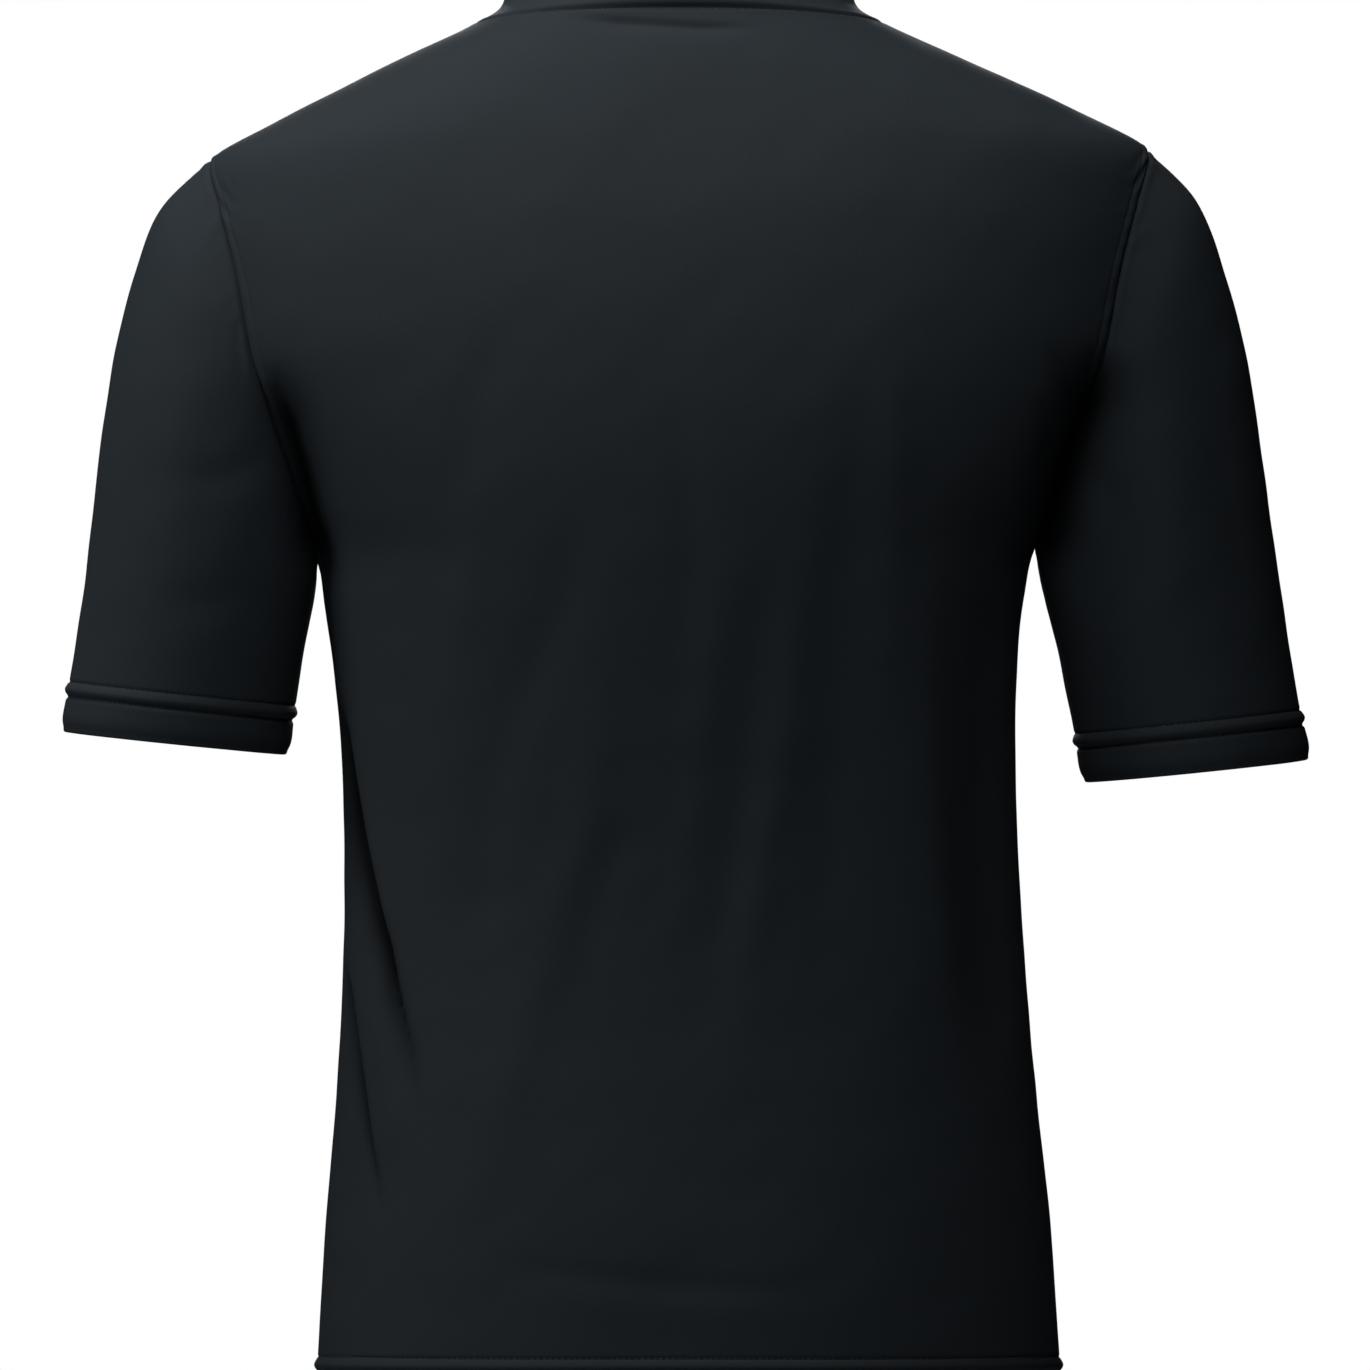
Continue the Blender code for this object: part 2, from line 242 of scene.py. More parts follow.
STANCE = np.array([  # height, sideways sway, how far the left edge hangs below the right one
    (-719.0, -5.0, 0.0), (-610.0, -4.5, 0.0), (-470.0, -2.2, 0.0), (-376.0, 0.5, 0.0), (-300.0, 2.2, 2.4),
    (-230.0, 0.2, 3.1), (-67.1, 0.0, 2.6), (0.0, 0.0, 0.0),
])
SLEEVE = np.array([  # how far along, outer line across and up, under line across and up, half depth
    (0.00, 243.0, -67.1, 186.8, -273.5, 64.0), (0.12, 268.5, -92.5, 187.4, -279.0, 65.5),
    (0.24, 282.5, -127.0, 188.2, -287.0, 65.5), (0.38, 293.5, -168.0, 190.0, -297.5, 65.0),
    (0.50, 299.0, -205.0, 192.5, -309.0, 64.0), (0.64, 304.5, -249.0, 195.5, -324.0, 62.5),
    (0.82, 312.5, -308.0, 199.8, -350.0, 60.0), (1.00, 322.0, -367.5, 204.5, -380.0, 58.0),
])
BAND = np.array([  # how far up, then inwards and up at the sides, at the back and at the front
    (0.00, 0.0, 0.0, 0.0, 0.0, 0.0, 0.0), (0.35, 8.0, 4.0, 1.0, 6.5, 2.8, 6.2),
    (0.60, 13.0, 7.4, 2.4, 11.5, 5.5, 10.8), (0.80, 16.0, 11.5, 4.0, 16.0, 8.2, 14.5),
    (1.00, 17.8, 18.0, 5.8, 20.5, 11.2, 17.8),
])
for form_table in (GIRTH, PROFILE, STANCE):
    form_table *= MM
SLEEVE[:, 1:] *= MM
BAND[:, 1:] *= MM


def smooth(form_table, column, at):
    """A table's column at each place between its rows, on a smooth curve through them."""
    x, y = form_table[:, 0], form_table[:, column]
    slope = np.gradient(y, x)
    slope[1:-1] = (y[2:] - y[:-2]) / (x[2:] - x[:-2])
    at = np.clip(at, x[0], x[-1])
    i = np.clip(np.searchsorted(x, at, side="right") - 1, 0, len(x) - 2)
    step = x[i + 1] - x[i]
    t = (at - x[i]) / step
    rise = y[i] * (1 + 2 * t) * (1 - t) ** 2 + y[i + 1] * t * t * (3 - 2 * t)
    return rise + step * (slope[i] * t * (1 - t) ** 2 - slope[i + 1] * t * t * (1 - t))


print("half width at the waist in mm:", round(float(smooth(GIRTH, 1, -0.4)) / MM, 1))

# %% [markdown]
# ## A fine grid for each panel
#
# Cloth detail needs points where the detail is. A grid of rows and columns can be fine beside a seam
# and coarse in the middle of the back, if the spacing is stepped from the edge inwards. The rows are
# close together over the hem and below the neck seam, and the columns beside the side seams and where
# the sharpest creases run, on the wearer's left. Along the armhole the rows follow a cosine, so that
# they are closest where the armhole turns, under the arm and at the shoulder point.

# %% Rows and columns
HEM_Z = -719.0 * MM
UNDERARM_Z = -273.5 * MM
SHOULDER_Z = -67.1 * MM
ROW_FAN = 33.0 * MM
HALF_ROUND = 232.0 * MM  # from the middle of the back to the side seam, over the cloth
HEM_ROWS, SIDE_ROWS, ARMHOLE_ROWS, SHOULDER_ROWS = 32, 118, 72, 30
FIRST_ROW, LAST_HEM_ROW = 2.0 * MM, 32.0 * MM  # the close rows, from the folded edge to past the hem
NECK_CROWDING = 1.35  # how much closer the rows lie towards the neck seam


def steps_from_edge(length, edge_step, edge_zone, far_step, crease_zone=0, crease_step=0):
    """Places from an edge inwards: close together at the edge, and wider apart further in."""
    places = [0.0]
    while places[-1] < length:
        here = places[-1]
        step = edge_step + max(here - edge_zone, 0) * 0.16
        step = min(step, crease_step if here < crease_zone else far_step)
        places.append(here + step)
    return np.array(places) * (length / places[-1])


left = steps_from_edge(HALF_ROUND, 0.65 * MM, 8 * MM, 4.2 * MM, 80 * MM, 1.4 * MM)
right = steps_from_edge(HALF_ROUND, 0.65 * MM, 8 * MM, 4.2 * MM)
COLUMNS = np.concatenate([1 - left / HALF_ROUND, right[-2::-1] / HALF_ROUND - 1])  # from 1 to -1

hem_heights = np.linspace(FIRST_ROW, LAST_HEM_ROW, HEM_ROWS)
hem_shares = hem_heights / (UNDERARM_Z - HEM_Z)
upper_shares = hem_shares[-1] + (1 - hem_shares[-1]) * np.linspace(0, 1, SIDE_ROWS + 2)[1:-1]
side_shares = np.concatenate([hem_shares, upper_shares])
armhole_shares = np.linspace(0, 1, ARMHOLE_ROWS + 1)
shoulder_left = np.linspace(1, 0, SHOULDER_ROWS + 1)[1:] ** NECK_CROWDING
low_middle, high_middle = UNDERARM_Z - ROW_FAN, SHOULDER_Z + ROW_FAN
row_edges = np.concatenate([
    HEM_Z + (UNDERARM_Z - HEM_Z) * side_shares,
    SHOULDER_Z - (SHOULDER_Z - UNDERARM_Z) * (1 + np.cos(math.pi * armhole_shares)) / 2,
    SHOULDER_Z * shoulder_left,
])
row_middles = np.concatenate([
    HEM_Z + (low_middle - HEM_Z) * side_shares,
    low_middle + (high_middle - low_middle) * armhole_shares,
    high_middle * shoulder_left,
])
ARMHOLE_START = len(side_shares)
ARMHOLE_END = ARMHOLE_START + ARMHOLE_ROWS
print("grid of a panel:", len(row_edges), "rows,", len(COLUMNS), "columns")

# %% [markdown]
# ## Front and back
#
# Both panels use the same rows and columns, so their side seams share every point. The back hem rises
# a little over the seat, and the front neckline is a scooped curve, found by halving: at each column
# the height where the cloth is exactly as wide as the neckline.

# %% Panel form
SQUARENESS = 2.4
ARMHOLE_BOW = 64.0 * MM
FRONT_NECK_DROP = 88.0 * MM
BACK_NECK_RISE = 3.0 * MM
BACK_HEM_RISE = 13.0 * MM
NECK_DOWN, NECK_WIDE = 2.2, 2.4
FAN_POWER = 5
STANDS = {"back": 1, "front": 2}  # the column of the profile table for each side


def armhole_depth(z):
    """How far behind, and before, the shoulder point the armhole runs at a height."""
    share = np.clip((SHOULDER_Z - z) / (SHOULDER_Z - UNDERARM_Z), 0, 1)
    return ARMHOLE_BOW * 2 * np.sqrt(share * (1 - share))


def across(side, s, edge):
    """Where a column lies in the row that meets the panel's edge here, as a share of the half width."""
    stands = smooth(PROFILE, STANDS[side], edge)
    end = (1 - (armhole_depth(edge) / stands) ** 2) ** (1 / SQUARENESS)
    return np.sin(s * np.arcsin(end))


def front_neck_height(s):
    """The height of the front neckline at each column."""
    low, high = np.full_like(s, -FRONT_NECK_DROP), np.zeros_like(s)
    for _ in range(40):
        z = (low + high) / 2
        neckline = smooth(GIRTH, 1, 0) * (1 - (-z / FRONT_NECK_DROP) ** NECK_DOWN) ** (1 / NECK_WIDE)
        inside = smooth(GIRTH, 1, z) * abs(across("front", s, 0.0)) < neckline
        low, high = np.where(inside, low, z), np.where(inside, z, high)
    return np.where(abs(s) < 1, high, 0.0)


def panel_form(side):
    """The panel's outer face as a grid of points: rows from the hem up, columns so that it faces out."""
    s = COLUMNS if side == "back" else COLUMNS[::-1]
    edge, middle = row_edges[:, None], row_middles[:, None]
    top = front_neck_height(s) if side == "front" else BACK_NECK_RISE * (1 - s * s)
    bottom = HEM_Z + (BACK_HEM_RISE * (1 - s * s) if side == "back" else 0 * s)
    height = edge + (middle - edge) * (1 - abs(s) ** FAN_POWER)
    z = bottom + (top - bottom) * (1 - height / HEM_Z)
    share = across(side, s, edge)
    rise = np.sqrt(np.maximum(1 - abs(share) ** SQUARENESS, 0))
    x = smooth(GIRTH, 1, z) * share + smooth(STANCE, 1, z)
    y = smooth(PROFILE, STANDS[side], z) * rise
    return np.stack([x, y, z - smooth(STANCE, 2, z) * share], axis=-1)


forms = {"back": panel_form("back"), "front": panel_form("front")}
print("widest across the back in mm:", round(float(np.ptp(forms["back"][..., 0])) / MM, 1))

# %% [markdown]
# ## Sleeves and neck band
#
# A sleeve starts as the armhole itself and turns into a row of leaning ellipses. It is worked out on
# many rings first, and its rows are then set by their distance over the cloth: close together beside
# the armhole seam and over the cuff's hem. The neck band grows out of the neck seam in the same way.

# %% Sleeve and band form
SLEEVE_SWING = 12.0 * MM
NECK_AXIS_Y = -8.0 * MM
REACH = {"left": (0.0, 0.0), "right": (7.0 * MM, 14.5 * MM)}
SEAM_STEPS = np.array([0, 0.5, 1.0, 1.6, 2.3, 3.1, 4.0, 5.0, 6.2, 7.6, 9.3, 11.5]) * MM
CUFF_STEPS = np.linspace(32, 2, 31) * MM  # before the folded edge
BAND_EDGE_STEPS = np.array([4.5, 3.4, 2.4, 1.6]) * MM
SLEEVE_ROWS, BAND_ROWS = 72, 8


def length_along(grid, axis=0):
    """How far over the cloth each point of a grid is from the grid's first row or column."""
    steps = np.linalg.norm(np.diff(grid, axis=axis), axis=-1)
    start = np.zeros_like(np.take(steps, [0], axis=axis))
    return np.concatenate([start, np.cumsum(steps, axis=axis)], axis=axis)


def respaced(grid, from_start, middle_rows, from_end):
    """The same sheet with its rows at set distances from its first and its last row."""
    lengths = length_along(grid)
    columns = []
    for c in range(grid.shape[1]):
        total = lengths[-1, c]
        middle = np.linspace(from_start[-1], total - from_end[0], middle_rows + 2)[1:-1]
        at = np.concatenate([from_start, middle, total - from_end])
        columns.append(np.stack([np.interp(at, lengths[:, c], grid[:, c, k]) for k in range(3)], axis=-1))
    return np.stack(columns, axis=1)


def sleeve_form(hand):
    """The sleeve's outer face: rings from the armhole to the cuff."""
    s = 1 if hand == "left" else -1
    edge = slice(ARMHOLE_START, ARMHOLE_END + 1)
    back_edge = forms["back"][edge, 0 if s > 0 else -1]
    front_edge = forms["front"][edge, -1 if s > 0 else 0]
    turns = math.pi * (1 - armhole_shares)
    seam = np.concatenate([back_edge, front_edge[-2:0:-1]])
    turns = np.concatenate([turns, turns[-2:0:-1]])
    ways = np.concatenate([np.ones(ARMHOLE_ROWS + 1), -np.ones(ARMHOLE_ROWS - 1)])
    if hand == "right":  # turned round, so that the cloth faces outwards
        order = np.concatenate([[0], np.arange(len(seam) - 1, 0, -1)])
        seam, turns, ways = seam[order], turns[order], ways[order]
    along = np.linspace(0, 1, 300)[:, None]
    out, down = REACH[hand]
    outer_x, outer_z, under_x, under_z, deep = (smooth(SLEEVE, k, along) for k in range(1, 6))
    middle_x = s * ((outer_x + under_x) / 2 + out * along**2)
    middle_z = (outer_z + under_z) / 2 - down * along**2
    reach_x, reach_z = s * (outer_x - under_x) / 2, (outer_z - under_z) / 2
    x = middle_x + reach_x * np.cos(turns)
    y = -SLEEVE_SWING * along**1.5 + deep * np.sin(turns) * ways
    z = middle_z + reach_z * np.cos(turns)
    rings = np.stack([x, y, z], axis=-1)
    rings = rings + (seam - rings[0]) * ((1 - along) ** 2)[..., None]
    return respaced(rings, SEAM_STEPS, SLEEVE_ROWS, CUFF_STEPS)


def band_form():
    """The neck band's outer face: rings from the neck seam to the folded edge."""
    seam = np.concatenate([forms["back"][-1], forms["front"][-1][1:-1]])
    inward = np.stack([-seam[:, 0], NECK_AXIS_Y - seam[:, 1], 0 * seam[:, 0]], axis=-1)
    inward /= np.linalg.norm(inward, axis=-1, keepdims=True)
    facing = -inward[:, 1]
    shares = [1 - facing**2, np.maximum(facing, 0) ** 2, np.maximum(-facing, 0) ** 2]
    part = np.linspace(0, 1, 80)[:, None]
    lean = sum(share * smooth(BAND, 1 + 2 * k, part) for k, share in enumerate(shares))
    rise = sum(share * smooth(BAND, 2 + 2 * k, part) for k, share in enumerate(shares))
    rings = seam + inward * lean[..., None]
    rings[..., 2] += rise
    return respaced(rings, SEAM_STEPS[:7], BAND_ROWS, BAND_EDGE_STEPS)


forms["sleeve_left"] = sleeve_form("left")
forms["sleeve_right"] = sleeve_form("right")
forms["collar"] = band_form()
IS_TUBE = {"back": False, "front": False, "sleeve_left": True, "sleeve_right": True, "collar": True}
for name, form in forms.items():
    print(name, form.shape[:2])

# %% [markdown]
# ## Creases
#
# Jersey that hangs from the shoulders falls in long soft folds, and where the waist pushes it aside it
# breaks into a few crisp ones. Each crease here is a line of points on the cloth, seen from behind or
# from the front, with a depth, a width on each of its sides and a power: 2 gives a soft trough, and a
# smaller one a crisp line. A negative depth is a ridge. They differ in length, depth and spacing,
# because cloth never folds twice in the same way. Each is listed rather than simulated, so that it
# lies where it should. The shared folds are listed apart: they run down from the armpits and
# along the flanks, on and beside the seams, so every piece that they touch has to move with them.

# %% Crease list, in millimetres
CREASES = [  # piece, side, depth, width to the wearer's left and right, power, fades, line across and up
    ("body", 1, 13.0, 4.8, 2.6, 1.3, (0.2, 0.6),
     [(179, -340), (171, -395), (161, -444), (152, -476), (144, -507), (135, -537), (129, -575)]),
    ("body", 1, 7.0, 3.0, 2.0, 1.2, (0.2, 0.5),
     [(176, -478), (167, -529), (163, -556), (157, -587), (147, -622)]),
    ("body", 1, -1.6, 9, 9, 2, (0.4, 0.4), [(164, -475), (150, -535), (137, -600)]),
    ("body", 1, 0.9, 12, 12, 2, (0.3, 0.4), [(86, -150), (102, -210), (116, -265)]),
    ("body", 1, 1.9, 15, 12, 2, (0.2, 0.3),
     [(45, -245), (61, -310), (80, -350), (95, -401), (100, -451), (103, -520)]),
    ("body", 1, 0.9, 9, 9, 2, (0.4, 0.4), [(7, -175), (-6, -270), (0, -330), (4, -372)]),
    ("body", 1, 1.2, 10, 10, 2, (0.3, 0.3),
     [(-48, -255), (-38, -340), (-31, -400), (-23, -451), (-14, -522)]),
    ("body", 1, 1.0, 10, 10, 2, (0.3, 0.3),
     [(-96, -160), (-86, -240), (-80, -300), (-78, -360), (-76, -426), (-72, -481), (-66, -530)]),
    ("body", 1, 0.7, 8, 9, 2, (0.3, 0.4), [(-118, -225), (-124, -280), (-131, -340)]),
    ("body", 1, 0.9, 10, 10, 2, (0.4, 0.4), [(20, -385), (40, -451), (54, -505)]),
    ("body", 1, -0.8, 10, 10, 2, (0.4, 0.4), [(94, -225), (107, -300), (115, -340), (122, -395)]),
    ("body", 1, -1.4, 13, 13, 2, (0.3, 0.3),
     [(23, -285), (39, -350), (47, -410), (62, -461), (80, -526), (100, -592), (117, -640)]),
    ("body", 1, -0.9, 9, 9, 2, (0.4, 0.4), [(-29, -255), (-18, -320), (-11, -375), (-4, -430), (16, -515)]),
    ("body", 1, -1.3, 10, 10, 2, (0.3, 0.4),
     [(-72, -230), (-61, -300), (-56, -360), (-46, -416), (-34, -485), (-24, -555)]),
    ("body", 1, -1.2, 9, 9, 2, (0.3, 0.4), [(-108, -160), (-108, -250), (-106, -300), (-103, -395)]),
    ("body", 1, -1.1, 10, 10, 2, (0.3, 0.4), [(-111, -335), (-127, -401), (-138, -477), (-149, -570)]),
    ("body", 1, 2.2, 4.5, 2.2, 1.7, (0.35, 0.3), [(64, -2), (30, -5), (-11, -8), (-44, -9)]),
    ("body", 1, 1.5, 3.5, 3.0, 1.6, (0.3, 0.4), [(-186, -168), (-195, -184), (-204, -200)]),
    ("body", 1, 1.6, 4.0, 4.0, 1.7, (0.3, 0.4), [(-182, -194), (-189, -213), (-187, -240)]),
    ("body", 1, 1.1, 7, 7, 2, (0.4, 0.4), [(112, -631), (39, -640), (-41, -645), (-95, -641)]),
    ("body", -1, 5.0, 4, 9, 1.4, (0.3, 0.5), [(-176, -380), (-160, -460), (-137, -520), (-112, -575)]),
    ("body", -1, 3.2, 3, 8, 1.4, (0.3, 0.5), [(-178, -500), (-168, -560), (-150, -615)]),
    ("body", -1, 3.0, 8, 4, 1.5, (0.3, 0.5), [(176, -420), (158, -505), (138, -570)]),
    ("body", -1, 1.9, 13, 13, 2, (0.3, 0.4), [(-60, -250), (-78, -360), (-88, -470), (-84, -560)]),
    ("body", -1, 1.5, 11, 11, 2, (0.3, 0.4), [(58, -230), (72, -330), (90, -450), (94, -555)]),
    ("body", -1, 1.3, 11, 11, 2, (0.3, 0.4), [(0, -300), (-8, -400), (10, -520), (16, -610)]),
    ("body", -1, -1.3, 12, 12, 2, (0.3, 0.4), [(-28, -260), (-38, -380), (-42, -500), (-30, -600)]),
    ("body", -1, -1.1, 12, 12, 2, (0.3, 0.4), [(30, -240), (38, -360), (52, -480), (55, -590)]),
    ("body", -1, 1.6, 7, 7, 1.8, (0.3, 0.5), [(170, -215), (140, -250), (112, -300)]),
    ("body", -1, 1.8, 7, 7, 1.8, (0.3, 0.5), [(-172, -210), (-144, -252), (-118, -312)]),
    ("body", -1, 1.3, 6, 6, 1.8, (0.3, 0.5), [(184, -170), (152, -190), (118, -205)]),
    ("body", -1, 1.2, 6, 6, 1.8, (0.3, 0.5), [(-186, -160), (-156, -182), (-126, -190)]),
    ("sleeve_left", 1, 1.4, 9, 9, 2, (0.2, 0.5), [(204, -222), (232, -236), (268, -238)]),
    ("sleeve_left", 1, 1.0, 10, 10, 2, (0.3, 0.5), [(206, -286), (236, -300), (276, -300)]),
    ("sleeve_left", 1, -0.9, 12, 12, 2, (0.4, 0.4), [(246, -150), (256, -230), (262, -320)]),
    ("sleeve_left", -1, 2.2, 7, 9, 1.7, (0.2, 0.5), [(206, -210), (238, -246), (262, -300)]),
    ("sleeve_left", -1, 1.5, 8, 8, 1.8, (0.3, 0.5), [(212, -270), (240, -300), (262, -338)]),
    ("sleeve_left", -1, 1.1, 9, 9, 2, (0.3, 0.5), [(244, -120), (262, -190), (276, -260)]),
    ("sleeve_right", 1, 1.7, 8, 8, 1.8, (0.2, 0.5), [(-206, -225), (-228, -262), (-236, -330)]),
    ("sleeve_right", 1, -1.0, 12, 12, 2, (0.4, 0.4), [(-240, -180), (-250, -240), (-258, -330)]),
    ("sleeve_right", 1, 1.0, 9, 9, 2, (0.3, 0.5), [(-262, -160), (-280, -240), (-292, -330)]),
    ("sleeve_right", -1, 2.0, 9, 7, 1.7, (0.2, 0.5), [(-206, -215), (-234, -255), (-258, -310)]),
    ("sleeve_right", -1, 1.3, 8, 8, 1.8, (0.3, 0.5), [(-214, -280), (-240, -312), (-264, -345)]),
]
SHARED_FOLDS = [  # side, depth, width to the wearer's left and right, power, fades, line across and up
    (1, 19.0, 9, 9, 1.5, (0.3, 0.3),
     [(208, -176), (198, -208), (191, -238), (188, -256), (184, -276), (181, -300)]),
    (1, 21.0, 11, 14, 1.5, (0.25, 0.3),
     [(-218, -168), (-209, -197), (-199, -227), (-193, -247), (-188, -268), (-182, -300)]),
    (1, -6.0, 30, 12, 2, (0.3, 0.3), [(-124, -235), (-125, -330), (-128, -430), (-138, -560)]),
    (1, 9.0, 15, 18, 2, (0.2, 0.3), [(-164, -265), (-158, -350), (-158, -440), (-168, -560)]),
    (-1, 8.0, 12, 12, 1.8, (0.35, 0.4), [(188, -185), (184, -240), (180, -290), (178, -350)]),
    (-1, 8.0, 12, 12, 1.8, (0.35, 0.4), [(-188, -185), (-184, -240), (-180, -290), (-178, -350)]),
]
print(len(CREASES), "creases and", len(SHARED_FOLDS), "folds placed by hand")

# %% [markdown]
# ## From a line to a dent
#
# A crease presses the cloth in most on its line and less and less to either side, like a bell seen from
# the side, and it fades in and out along the line. So each point of the cloth needs two things: how far
# it lies beside the line, and how far along it is.

# %% How deep one crease presses at each point
LINE_POINTS = 28  # on the smooth curve through a crease's own points
BELL_REACH = 3.2  # widths round the line's own box, past which a crease isn't worked out


def ease(t):
    """0 to 1 without a corner at either end."""
    t = np.clip(t, 0, 1)
    return t * t * (3 - 2 * t)


def smooth_line(points):
    """More points along a line, on a smooth curve through its own."""
    points = np.array(points, float) * MM
    along = np.concatenate([[0], np.cumsum(np.linalg.norm(np.diff(points, axis=0), axis=1))])
    table = np.column_stack([along, points])
    at = np.linspace(0, along[-1], LINE_POINTS)
    return np.column_stack([smooth(table, 1, at), smooth(table, 2, at)])


def beside_line(line, x, z):
    """How far each point is to the left of a line (less than 0 is right), and how far along, 0 to 1."""
    runs = np.diff(line, axis=0)
    away = np.stack([x, z], axis=-1)[:, None] - line[:-1]
    share = np.clip((away * runs).sum(-1) / (runs**2).sum(-1), 0, 1)
    off = away - share[..., None] * runs
    far = np.linalg.norm(off, axis=-1)
    nearest = far.argmin(1)
    pick = np.arange(len(x)), nearest
    side = runs[nearest, 0] * off[pick][:, 1] - runs[nearest, 1] * off[pick][:, 0]
    return far[pick] * np.sign(side), (nearest + share[pick]) / len(runs)


def pressed_by(fold, x, z):
    """How far one fold presses the cloth in at each point."""
    depth, to_left, to_right, power, (fade_in, fade_out), points = fold
    line = smooth_line(points)
    reach = BELL_REACH * max(to_left, to_right) * MM
    low, high = line.min(0) - reach, line.max(0) + reach
    near = (x > low[0]) & (x < high[0]) & (z > low[1]) & (z < high[1])
    off, along = beside_line(line, x[near], z[near])
    width = np.where(off > 0, to_left, to_right) * MM
    amount = np.zeros_like(x)
    amount[near] = depth * MM * np.exp(-((abs(off) / width) ** power))
    amount[near] *= ease(along / fade_in) * ease((1 - along) / fade_out)
    return amount


deepest = pressed_by(CREASES[0][2:], *(forms["back"][..., k].ravel() for k in (0, 2))).max()
print("the first crease presses in by at most, in mm:", round(float(deepest) / MM, 1))

# %% [markdown]
# ## Shared folds, and painted shade in the deepest creases
#
# The shared folds move every point straight towards the middle of the body, whichever piece it is on, so
# the seams stay closed; a crease on one piece moves along the direction that the cloth faces. Little
# light gets down into the narrowest of both, so each point also keeps a number from 0 to 1: how much
# painted shade the cloth's colour gets there later, darker towards the bottom of those folds.

# %% Folds and creases pressed in
NARROW_FOLD, SHARP_CREASE = 15, 6.5  # deeper ones, in mm, get a painted shade in the cloth's colour, because little light reaches their bottom
FOLD_START = 30 * MM  # behind or before the body's middle, where a shared fold reaches its full depth
FACING_START = 0.35  # how far the cloth has to face a crease's side for its full depth


def folded_together(form):
    """The form with the shared folds pressed in, and how much painted shade each point gets."""
    x, y, z = (form[..., k].ravel() for k in range(3))
    moved = np.zeros_like(x)
    painted_fold_shade = np.zeros_like(x)
    for side, *fold in SHARED_FOLDS:
        pressed = pressed_by(fold, x, z) * ease(side * y / FOLD_START)
        moved -= side * pressed
        if fold[0] > NARROW_FOLD:
            painted_fold_shade = np.maximum(painted_fold_shade, pressed / (fold[0] * MM))
    shift = np.stack([0 * x, moved, 0 * x], axis=-1)
    return form + shift.reshape(form.shape), painted_fold_shade.reshape(form.shape[:2])


def creased(name, form, facing):
    """The form with its own creases pressed in, and how much painted shade each point gets."""
    x, z = form[..., 0].ravel(), form[..., 2].ravel()
    pressed = np.zeros_like(x)
    painted_fold_shade = np.zeros_like(x)
    for piece, side, *fold in CREASES:
        if piece == ("body" if name in ("back", "front") else name):
            amount = pressed_by(fold, x, z) * ease(side * facing[..., 1].ravel() / FACING_START)
            pressed += amount
            if fold[0] > SHARP_CREASE:
                painted_fold_shade = np.maximum(painted_fold_shade, amount / (SHARP_CREASE * MM))
    shape = form.shape[:2]
    return form - facing * pressed.reshape(shape)[..., None], np.clip(painted_fold_shade, 0, 1).reshape(shape)


painted_fold_shade = {}
for name, form in forms.items():
    forms[name], painted_fold_shade[name] = folded_together(form)
    print(name, "hidden points:", int((painted_fold_shade[name] > 0.5).sum()))

# %% [markdown]
# ## Which way the cloth faces, and where pieces meet
#
# A point's direction comes from the rows and columns that cross there. Where two pieces are sewn
# together, both take the same direction along the seam, so that their edges roll in to the same line
# and no gap opens, whatever the angle between them.

# %% Directions


def directions(grid, tube):
    """The direction that the cloth faces at each point of a grid."""
    if tube:
        across_rows = np.roll(grid, -1, axis=1) - np.roll(grid, 1, axis=1)
    else:
        across_rows = np.gradient(grid, axis=1)
    facing = np.cross(across_rows, np.gradient(grid, axis=0))
    return facing / np.linalg.norm(facing, axis=-1, keepdims=True)


def sewn_edges(name, grid):
    """Index arrays (rows, columns) of the points on the piece's seams."""
    rows, columns = grid.shape[:2]
    if name in ("back", "front"):
        sides = [(r, c) for r in range(rows) for c in (0, columns - 1)]
        return np.array(sides + [(rows - 1, c) for c in range(columns)])
    return np.array([(0, c) for c in range(columns)])


def places(points):
    return [tuple(p) for p in np.round(points / MM, 3)]


def shared_directions(grids):
    """At each seam point, the mean direction of the pieces that meet there."""
    total = {}
    for name, grid in grids.items():
        facing = directions(grid, IS_TUBE[name])
        rows, columns = sewn_edges(name, grid).T
        seen_here = set()
        for key, way in zip(places(grid[rows, columns]), facing[rows, columns]):
            if key not in seen_here:
                total[key] = total.get(key, 0) + way
                seen_here.add(key)
    return {key: way / np.linalg.norm(way) for key, way in total.items()}


joint_directions = shared_directions(forms)
print("seam points:", len(joint_directions))

# %% [markdown]
# ## Distances over the cloth
#
# What happens near a seam or a hem depends on how far away it is, measured over the cloth, row by row
# and column by column. The first use is the directions above: each piece turns towards the seam's
# shared direction within a few millimetres of it.

# %% Distances to seams and hems
EDGE_FADE = 3.0 * MM


def seam_distances(name, grid):
    """Distances over the cloth to each sewn edge, and to the hem or folded edge."""
    up = length_along(grid)
    down = up[-1] - up
    if name in ("back", "front"):
        over = length_along(grid, axis=1)
        return {"first_side": over, "last_side": over[:, -1:] - over, "top": down, "hem": up}
    return {"bottom": up, "hem": down}


def pulled_together(name, facing, far):
    """The direction of each point, turned towards the seam's shared direction beside each seam."""
    turned, form = facing.copy(), forms[name]
    edges = {"first_side": form[:, :1], "last_side": form[:, -1:], "top": form[-1:], "bottom": form[:1]}
    for edge, distance in far.items():
        if edge == "hem":
            continue
        keys = places(edges[edge].reshape(-1, 3))
        shared = np.array([joint_directions[key] for key in keys]).reshape(edges[edge].shape)
        near = np.exp(-((distance / EDGE_FADE) ** 2))[..., None]
        turned = turned * (1 - near) + shared * near
    return turned / np.linalg.norm(turned, axis=-1, keepdims=True)


seam_far = {name: seam_distances(name, form) for name, form in forms.items()}
print("hem to neck seam, down the back, in mm:", round(seam_far["back"]["top"][0, len(COLUMNS) // 2] / MM))

# %% [markdown]
# ## Puckers, and creases without torn seams
#
# A crease must not pull one piece away from the other along a seam, so every crease fades out over the
# last few millimetres before it. Beside the armhole the cloth puckers instead: small uneven waves,
# slanting away from the stitches, that die out further in. Over the whole shirt the cloth also swells
# and dips by a fraction of a millimetre, in two sizes, so that no stretch of it is quite smooth. All of
# it comes from sums of a few sine waves, each in a direction of its own.

